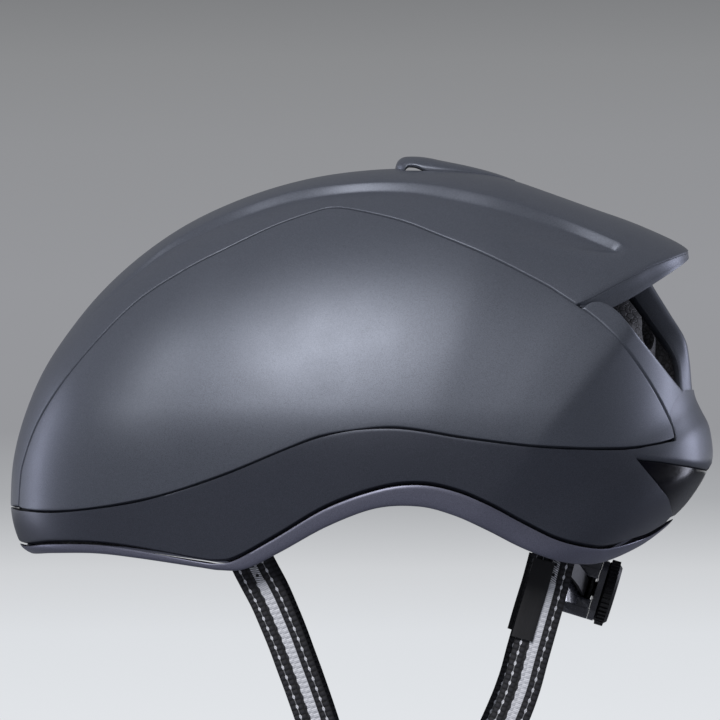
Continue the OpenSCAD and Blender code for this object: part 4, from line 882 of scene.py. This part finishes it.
def ribbon(path, side, width, thick):
    """Flat strap along a path: half its thickness is thick / 2 (1 - |u|^6) for u from -1 to 1 across. UV across
    is 0 to 1 and UV along is in millimetres."""
    fine = smooth(path, 20)
    length = np.linalg.norm(np.diff(fine, axis=0), axis=1).sum()
    t = np.linspace(0, 1, int(length) + 2)
    p, s = np.split(along(np.hstack([fine, smooth(side, 20)]), t), 2, 1)
    d = unit(np.gradient(p, axis=0))
    s = unit(s - (s * d).sum(1, keepdims=True) * d)
    u = np.linspace(-1, 1, 16)
    flat = p[:, None] + np.cross(d, s)[:, None] * (u * width / 2)[:, None]
    up = s[:, None] * ((1 - np.abs(u) ** 6) * thick / 2)[:, None]
    uv = np.stack(np.broadcast_arrays((1 - u) / 2, t[:, None] * length), -1).reshape(-1, 2)
    return *skin(flat + up, flat - up), np.vstack([uv, uv])


def wall(a, z, off):
    """Point of the cavity wall at angle a round from the front and height z, off millimetres outside."""
    r = CAVITY + off[..., None]
    s = np.sqrt(1 - (np.maximum(z - CAVITY_Z, 0) / r[..., 2]) ** 2)
    a = np.radians(a)
    return np.stack([CAVITY_X - r[..., 0] * np.cos(a) * s, r[..., 1] * np.sin(a) * s, z], -1)


def dome(e, b, off):
    """Point of the cavity roof in direction (e, b) from the fan's axis: |o + t h| = 1 in half lengths."""
    r, h = CAVITY + off[..., None], heading(e, b)
    o, g = np.array([FAN_X - CAVITY_X, 0, FAN_Z - CAVITY_Z]) / r, h / r
    aa, bb, cc = (g * g).sum(-1), (o * g).sum(-1), (o * o).sum(-1) - 1
    return np.array([FAN_X, 0, FAN_Z]) + h * ((-bb + np.sqrt(bb * bb - aa * cc)) / aa)[..., None]


def pad_grid(n, m, length, width, channels=()):
    """Squared-off disc of n by m cells in [-1, 1] and its thickness as a share: a crowned middle, a flat sewn
    border and sewn channels across at the given shares of the length."""
    u, v = np.meshgrid(*(np.sin(np.linspace(-1, 1, k) * np.pi / 2) for k in (n, m)), indexing="ij")
    x, y = u * np.sqrt(1 - 0.5 * min(1, width / length) * v**2), v * np.sqrt(1 - 0.3 * u**6)
    way = np.minimum((1 - np.abs(u)) * length / 2, (1 - np.abs(v)) * width / 2)
    h = 0.14 + 0.86 * np.sqrt(np.clip(1 - (1 - np.clip((way - 1.8) / 5.5, 0, 1)) ** 2, 0, 1))
    for c in channels:
        h = h - 0.8 * (h - 0.14) * np.exp(-(((x - c) * length / 2) / 1.1) ** 2)
    return x, y, np.maximum(h, 0.12)


# Pads of the liner: name, node, surface, middle and half spans there, length and width in mm, sewn channels
PADS = [("brow_cushion", "brow_pad", wall, (0, -92), (45.6, 11.7), 142, 24, (-0.5, 0, 0.5)),
        ("side_cushion_right", "side_pad_right", wall, (92, -65), (29.6, 12.7), 98, 26, (-0.33, 0.33)),
        ("side_cushion_left", "side_pad_left", wall, (-92, -65), (29.6, 12.7), 98, 26, (-0.33, 0.33)),
        ("crown_cushion", "crown_pad", dome, (73, 0), (18.7, 8.8), 96, 46, (-0.36, 0.36)),
        ("rear_crown_cushion", "rear_crown_pad", dome, (118.5, 0), (11.2, 11.8), 56, 58, (0,))]


def build_pads(thick):
    """Sewn pads, thick millimetres at their crowns: the liner's lie on the cavity with their faces to the head,
    and the two nape pads lie along the insides of the cradle's arms."""
    ready()
    for name, node, place, mid, half, length, width, channels in PADS:
        x, y, h = pad_grid(int(length * 1.1) + 20, int(width * 1.1) + 16, length, width, channels)
        p, q = mid[0] + half[0] * x, mid[1] + half[1] * y
        gap = np.full_like(p, -PAD_GAP)
        ob = make(name, *skin(place(p, q, gap), place(p, q, gap - thick * h)), MATS["knit"], "helmet", "pad_fabric",
                  [node], sharp=70)
    x, y, h = pad_grid(48, 26, NAPE_LENGTH, NAPE_WIDTH)
    k = np.linspace(0, 1, 48)
    line = along(np.hstack([smooth(ARM_PATH, 20), unit(smooth(ARM_SIDE, 20))]), k)
    line = np.stack([np.interp((x + 1) / 2, k, line[:, i]) for i in range(6)], -1)
    p, s = line[..., :3], unit(line[..., 3:])
    w = unit(np.cross(unit(np.gradient(p, axis=0)), s))
    back = p - s * ARM_HALF + w * (y * NAPE_WIDTH / 2)[..., None]
    part = skin(back, back - s * (thick * h)[..., None])
    for name, own in (("left", mirror(part)), ("right", part)):
        ob = make(f"nape_cushion_{name}", *own, MATS["knit"], "cradle", "pad_fabric", [f"nape_pad_{name}"], sharp=70)


def build_straps(width, thick):
    """Webbing of both sides, with a plain patch on each rear strap."""
    ready()
    out = [(0, 1, 0)] * max(len(FRONT_PATH), len(REAR_PATH))
    for side, flip in (("left", mirror), ("right", None)):
        chin = "helmet" if flip else CHIN_BEND
        for name, node, path, faces, size, mat, body in (
                ("front_web", "front_strap", FRONT_PATH, out, (width, thick), "web", "helmet"),
                ("rear_web", "rear_strap", REAR_PATH, out, (width, thick), "web", "helmet"),
                ("rear_patch", "strap_patch", PATCH_PATH, out, (8.6, 0.5), "patch", "helmet"),
                ("chin_web", "chin_strap", CHIN_PATH, CHIN_SIDE, (width, thick), "web", chin)):
            *part, uv = ribbon(path, faces[:len(path)], *size)
            make(f"{name}_{side}", *(flip(part) if flip else part), MATS[mat], body, "webbing", [f"{node}_{side}"],
                 uv, 60)


# Fit system --------------------------------------------------------------------------------------------
# Middle and tilt of the dial, and the ribs of the housing's side as (along, up) of their two ends
DIAL = np.array([99.2, 0, -133.2])
TILT = math.radians(17)
RIBS = [((-16, 7), (-5.3, 1.3)), ((-12.5, -2.2), (-5.4, -7.7))]


def tilted(a, y, c):
    """Point given along the dial's axis (a), across (y) and up in the dial's plane (c)."""
    return np.stack([DIAL[0] + a * math.cos(TILT) + c * math.sin(TILT), y,
                     DIAL[2] - a * math.sin(TILT) + c * math.cos(TILT)], -1)


def cheek_parts(up):
    """Half of the housing's side plate, above or below the slot that the arm and the belt pass. A rib's height
    is 0.8 sqrt(1 - (d / 1.1)^2) at distance d from its middle line."""
    front, rear = -16.9, -6.1
    a, k = np.meshgrid(np.linspace(front, rear, 60), np.linspace(0, 1, 60), indexing="ij")
    low = 4.3 * ramp(-12.6, -11.6, a)
    top = 12.1 - 3 * (1 - np.sqrt(1 - np.clip((-13.9 - a) / 3, 0, 1) ** 2)) - 1.6 * (not up) * ramp(-9, -17, a)
    c = (low + (top - low) * k) * (1 if up else -1)
    edge = np.minimum(np.minimum(a - front, rear - a), np.minimum(k, 1 - k) * (top - low))
    rib = 0 * a
    for (a0, c0), (a1, c1) in RIBS:
        t = np.clip(((a - a0) * (a1 - a0) + (c - c0) * (c1 - c0)) / ((a1 - a0) ** 2 + (c1 - c0) ** 2), 0, 1)
        d = np.hypot(a - a0 - t * (a1 - a0), c - c0 - t * (c1 - c0))
        rib = np.maximum(rib, 0.8 * np.sqrt(np.clip(1 - (d / 1.1) ** 2, 0, 1)))
    y = 19.0 - roll(edge, 0.6) + rib * ramp(0, 0.8, edge)
    return skin(tilted(a, y, c), tilted(a, np.full_like(y, 17.7), c))


def build_fit():
    """Fit belts and height strip remade from their nodes with no parent and their transforms baked, and the
    housing's sides.
    """
    ready()
    bands = [(f"belt_band_{side}", f"fit_belt_{side}", (28, 74 * y, -93), (86, 31 * y, -124.5))
             for side, y in (("left", -1), ("right", 1))]
    for name, node, start, end in [*bands, ("height_band", "height_strip", (94, 0, -97), (94, 0, -114))]:
        make(name, *node_parts(node), MATS["nylon"], ("ring", "cradle", start, end), "moulded_black", [node])
    for word in ("upper", "lower"):
        pair(f"{word}_cheek", cheek_parts(word == "upper"), MATS["housing"], "cradle", "moulded_black", sharp=60)


# Pieces of the shells and the liner --------------------------------------------------------------------
def build_crown():
    """Crown skin, vent hood and the tail's deep face."""
    ready()
    look = MATS["paint"], "helmet", "graphite_shell"
    make("crown_skin", *crown_parts(), *look, ["crown_shell"], sharp=30)
    make("vent_hood", *hood_parts(), *look, ["crown_vent_hood"])
    make("tail_face", *tail_parts(), *look)


def build_panels(gap):
    """Both side panels, gap millimetres inside their seams."""
    ready()
    pair("panel", panel_parts(gap), MATS["paint"], "helmet", "graphite_shell", nodes=["side_panel"])


def build_lower():
    """Band with its wedges, rails and strut, the gloss insert and the rim."""
    ready()
    # dark is the band paint, darker than the shell as painted shade; light is the shell's own paint
    dark, light = ((MATS[k], "helmet", "dark_shell") for k in ("band", "paint"))
    make("lower_band", *band_parts(), *dark, ["lower_shell"])
    pair("wedge", wedge_parts(), *dark)
    pair("rear_rail", rail_parts(), *light)
    make("centre_strut", *strut_parts(), *light)
    make("gloss_insert", *insert_parts(), MATS["gloss"], "helmet", "gloss_black", ["rear_insert"])
    make("lower_bead", *rim_parts(), MATS["rim"], "helmet", "dark_shell", ["lower_rim"])


def build_liner():
    """Foam liner and the keel between its two ports."""
    ready()
    look = MATS["foam"], "helmet", "black_foam"
    make("foam_liner", *foam_parts(), *look, ["eps_liner"])
    make("foam_keel", *keel_parts(), *look)


def dress_nodes():
    """Materials of the carried nodes, by their slots. The cradle and its cover have the housing's own."""
    ready()
    slots = {s["node"]: s["material_slot"] for s in frame["record"]["subparts"]}
    for name, ob in frame["nodes"].items():
        ob.data.materials.clear()
        ob.data.materials.append(MATS["housing" if name in ("cradle", "housing_cover") else DRESS[slots[name]]])


# Stage -------------------------------------------------------------------------------------------------
# Width and middle height of what the camera sees in m, its lens in mm, and the floor's height and radius in m
VIEW_WIDTH, VIEW_Z, LENS = 0.288, -0.040, 600.0
FLOOR_Z, FLOOR_RADIUS = -0.34, 4.2
# Backdrop from the lower to the upper border of the view
BACKDROP = [(0.0, "#e1e4e8"), (0.12, "#dcdfe3"), (0.21, "#cfd1d4"), (0.31, "#a9abae"), (0.40, "#96979b"),
            (0.60, "#96979b"), (0.80, "#919295"), (0.92, "#8a8b8d"), (1.0, "#808183")]


def area(name, place, target, w, h, power, colour="#ffffff"):
    """Rectangular soft light at place, turned to target."""
    data = bpy.data.lights.new(name, "AREA")
    data.shape, data.size, data.size_y, data.energy = "RECTANGLE", w, h, power
    data.color = linear(colour)[:3]
    ob = bpy.data.objects.new(name, data)
    ob.location = place
    ob.rotation_mode = "QUATERNION"
    ob.rotation_quaternion = (Vector(target) - Vector(place)).to_track_quat("-Z", "Y")
    bpy.context.scene.collection.objects.link(ob)


def build_world(half):
    """Backdrop for what the camera, a gloss or a glass sees, with its steps within half an angle of level and
    fading towards the front, and an even soft light for all other rays."""
    world = bpy.data.worlds.new("studio")
    bpy.context.scene.world = world
    world.use_nodes = True
    tree = world.node_tree
    tree.nodes.clear()
    n = functools.partial(add, tree)
    height = n("SeparateXYZ", n("TexCoord", out="Generated"), out=2)
    colour = n("ValToRGB", n("MapRange", height, -half, half))
    stops = colour.node.color_ramp.elements
    while len(stops) < len(BACKDROP):
        stops.new(0.5)
    for stop, (place, code) in zip(stops, BACKDROP):
        stop.position = place
        stop.color = linear(code)
    fade = n("MapRange", height.node.outputs[1], -0.35, 0.25, 0.22, 1.0)
    seen = n("LightPath", out="Is Camera Ray")
    rays = seen.node.outputs
    for ray in ("Is Glossy Ray", "Is Transmission Ray"):
        seen = n("Math:MAXIMUM", seen, rays[ray])
    shader = n("MixShader", seen, n("Background", "#c9ccd2", 0.5), n("Background", colour, fade))
    fill(tree.nodes.new("ShaderNodeOutputWorld"), shader)


def build_stage():
    """Camera, backdrop, floor and lights."""
    scene = bpy.context.scene
    scene.view_settings.view_transform = "Standard"
    cam = bpy.data.cameras.new("camera")
    cam.lens = LENS
    cam.clip_start, cam.clip_end = 0.1, 60
    ob = bpy.data.objects.new("camera", cam)
    distance = VIEW_WIDTH * LENS / cam.sensor_width
    ob.location = (0, -distance, VIEW_Z)
    ob.rotation_euler = (math.pi / 2, 0, 0)
    scene.collection.objects.link(ob)
    scene.camera = ob
    build_world(math.atan(VIEW_WIDTH / 2 / distance))

    me = bpy.data.meshes.new("floor")
    a = np.linspace(0, 2 * np.pi, 65)[:-1]
    me.from_pydata(np.stack([FLOOR_RADIUS * np.cos(a), FLOOR_RADIUS * np.sin(a), 0 * a + FLOOR_Z], -1), [],
                   [list(range(64))])
    floor = bpy.data.objects.new("floor", me)
    scene.collection.objects.link(floor)
    mat, bsdf, _ = begin("pale_floor")
    fill(bsdf, Base_Color="#8f9196", Roughness=0.9)
    me.materials.append(mat)

    area("key", (-0.33, -1.25, 1.17), (-0.01, 0, -0.02), 0.8, 0.65, 21)
    area("front", (-1.15, -0.7, 0.9), (-0.1, 0, -0.04), 0.5, 0.6, 4.5)
    area("right", (1.4, 0.78, 0.05), (0.1, 0, -0.04), 0.35, 0.9, 8, "#dfe2f5")
    area("left", (-1.4, 0.66, 0.0), (-0.1, 0, -0.06), 0.3, 1.0, 5, "#dfe2f5")


# Add-on ------------------------------------------------------------------------------------------------
def colour_prop(name, code, description):
    """Colour setting whose default is a hex code."""
    return bpy.props.FloatVectorProperty(name=name, description=description, subtype="COLOR", size=3, min=0, max=1,
                                         default=linear(code)[:3])


def size_prop(name, low, default, high, description):
    """Length setting in metres."""
    return bpy.props.FloatProperty(name=name, description=description, unit="LENGTH", min=low, max=high,
                                   default=default)


class HelmetLook(bpy.types.PropertyGroup):
    """Sizes and colours of the helmet's looks that a user may change before building it."""

    shell_colour: colour_prop("Shell colour", "#585c67", "Paint of the crown, panels, rails and strut")
    # Band colour: the shell's paint darkened as painted shade on the lower band
    band_shaded_colour: colour_prop("Band colour", "#3f424d", "Paint of the lower shell below the panels")
    rim_colour: colour_prop("Rim colour", "#676879", "Paint of the bead round the lower edge")
    insert_colour: colour_prop("Insert colour", "#090911", "Gloss plastic of the rear insert")
    stripe_colour: colour_prop("Stripe colour", "#e9eaf2", "Reflective band and dashes woven into the webbing")
    web_width: size_prop("Webbing width", 0.012, 0.015, 0.016, "Width of the straps")
    web_thickness: size_prop("Webbing thickness", 0.0009, 0.0013, 0.0016, "Thickness of the straps")
    pad_thickness: size_prop("Pad thickness", 0.002, 0.0043, 0.0045, "Height of the sewn pads over the foam")
    seam_gap: size_prop("Seam gap", 0.0002, 0.0005, 0.001, "Half the width of the joint round the side panels")


class HELMET_OT_materials(bpy.types.Operator):
    """Make the paints, the bead foam, the knit, the webbing and the plastics"""

    bl_idname = "helmet.materials"
    bl_label = "Materials"

    def execute(self, context):
        materials(context.scene.helmet_look)
        return {"FINISHED"}


class HELMET_OT_carried(bpy.types.Operator):
    """Give the pieces carried over from the frame their materials"""

    bl_idname = "helmet.carried"
    bl_label = "Carried pieces"

    def execute(self, context):
        dress_nodes()
        return {"FINISHED"}


class HELMET_OT_crown(bpy.types.Operator):
    """Build the crown skin with its spine, the vent hood and the tail's deep face"""

    bl_idname = "helmet.crown"
    bl_label = "Crown"

    def execute(self, context):
        build_crown()
        return {"FINISHED"}


class HELMET_OT_panels(bpy.types.Operator):
    """Build the two side panels"""

    bl_idname = "helmet.panels"
    bl_label = "Side panels"

    def execute(self, context):
        build_panels(context.scene.helmet_look.seam_gap / MM)
        return {"FINISHED"}


class HELMET_OT_lower(bpy.types.Operator):
    """Build the lower band with its bumper, the wedges, rails, strut, insert and rim"""

    bl_idname = "helmet.lower"
    bl_label = "Lower shell"

    def execute(self, context):
        build_lower()
        return {"FINISHED"}


class HELMET_OT_liner(bpy.types.Operator):
    """Build the foam liner and the keel behind the strut"""

    bl_idname = "helmet.liner"
    bl_label = "Liner"

    def execute(self, context):
        build_liner()
        return {"FINISHED"}


class HELMET_OT_pads(bpy.types.Operator):
    """Build the sewn pads of the liner and of the cradle"""

    bl_idname = "helmet.pads"
    bl_label = "Pads"

    def execute(self, context):
        build_pads(context.scene.helmet_look.pad_thickness / MM)
        return {"FINISHED"}


class HELMET_OT_straps(bpy.types.Operator):
    """Build the webbing straps and the patches on them"""

    bl_idname = "helmet.straps"
    bl_label = "Straps"

    def execute(self, context):
        look = context.scene.helmet_look
        build_straps(look.web_width / MM, look.web_thickness / MM)
        return {"FINISHED"}


class HELMET_OT_fit(bpy.types.Operator):
    """Build the bands of the fit system and the side plates of its housing"""

    bl_idname = "helmet.fit"
    bl_label = "Fit system"

    def execute(self, context):
        build_fit()
        return {"FINISHED"}


class HELMET_OT_stage(bpy.types.Operator):
    """Build the floor, the backdrop, the lights and the camera"""

    bl_idname = "helmet.stage"
    bl_label = "Stage"

    def execute(self, context):
        build_stage()
        return {"FINISHED"}


STEPS = [HELMET_OT_materials, HELMET_OT_carried, HELMET_OT_crown, HELMET_OT_panels, HELMET_OT_lower,
         HELMET_OT_liner, HELMET_OT_pads, HELMET_OT_straps, HELMET_OT_fit, HELMET_OT_stage]


class HELMET_PT_panel(bpy.types.Panel):
    """Settings and one button for each step of the helmet"""

    bl_label = "Helmet"
    bl_space_type = "VIEW_3D"
    bl_region_type = "UI"
    bl_category = "Helmet"

    def draw(self, context):
        look = context.scene.helmet_look
        for name in HelmetLook.__annotations__:
            self.layout.prop(look, name)
        for step in STEPS:
            self.layout.operator(step.bl_idname, text=step.bl_label)


CLASSES = [HelmetLook, *STEPS, HELMET_PT_panel]


def register():
    """Add the classes and the settings to Blender."""
    for cls in CLASSES:
        bpy.utils.register_class(cls)
    bpy.types.Scene.helmet_look = bpy.props.PointerProperty(type=HelmetLook)


def unregister():
    """Take the settings and the classes out of Blender."""
    del bpy.types.Scene.helmet_look
    for cls in reversed(CLASSES):
        bpy.utils.unregister_class(cls)


def main():
    """Register the add-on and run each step."""
    register()
    for step in STEPS:
        getattr(bpy.ops.helmet, step.bl_idname.split(".")[1])()
    bpy.context.view_layer.update()


if __name__ == "__main__":
    main()
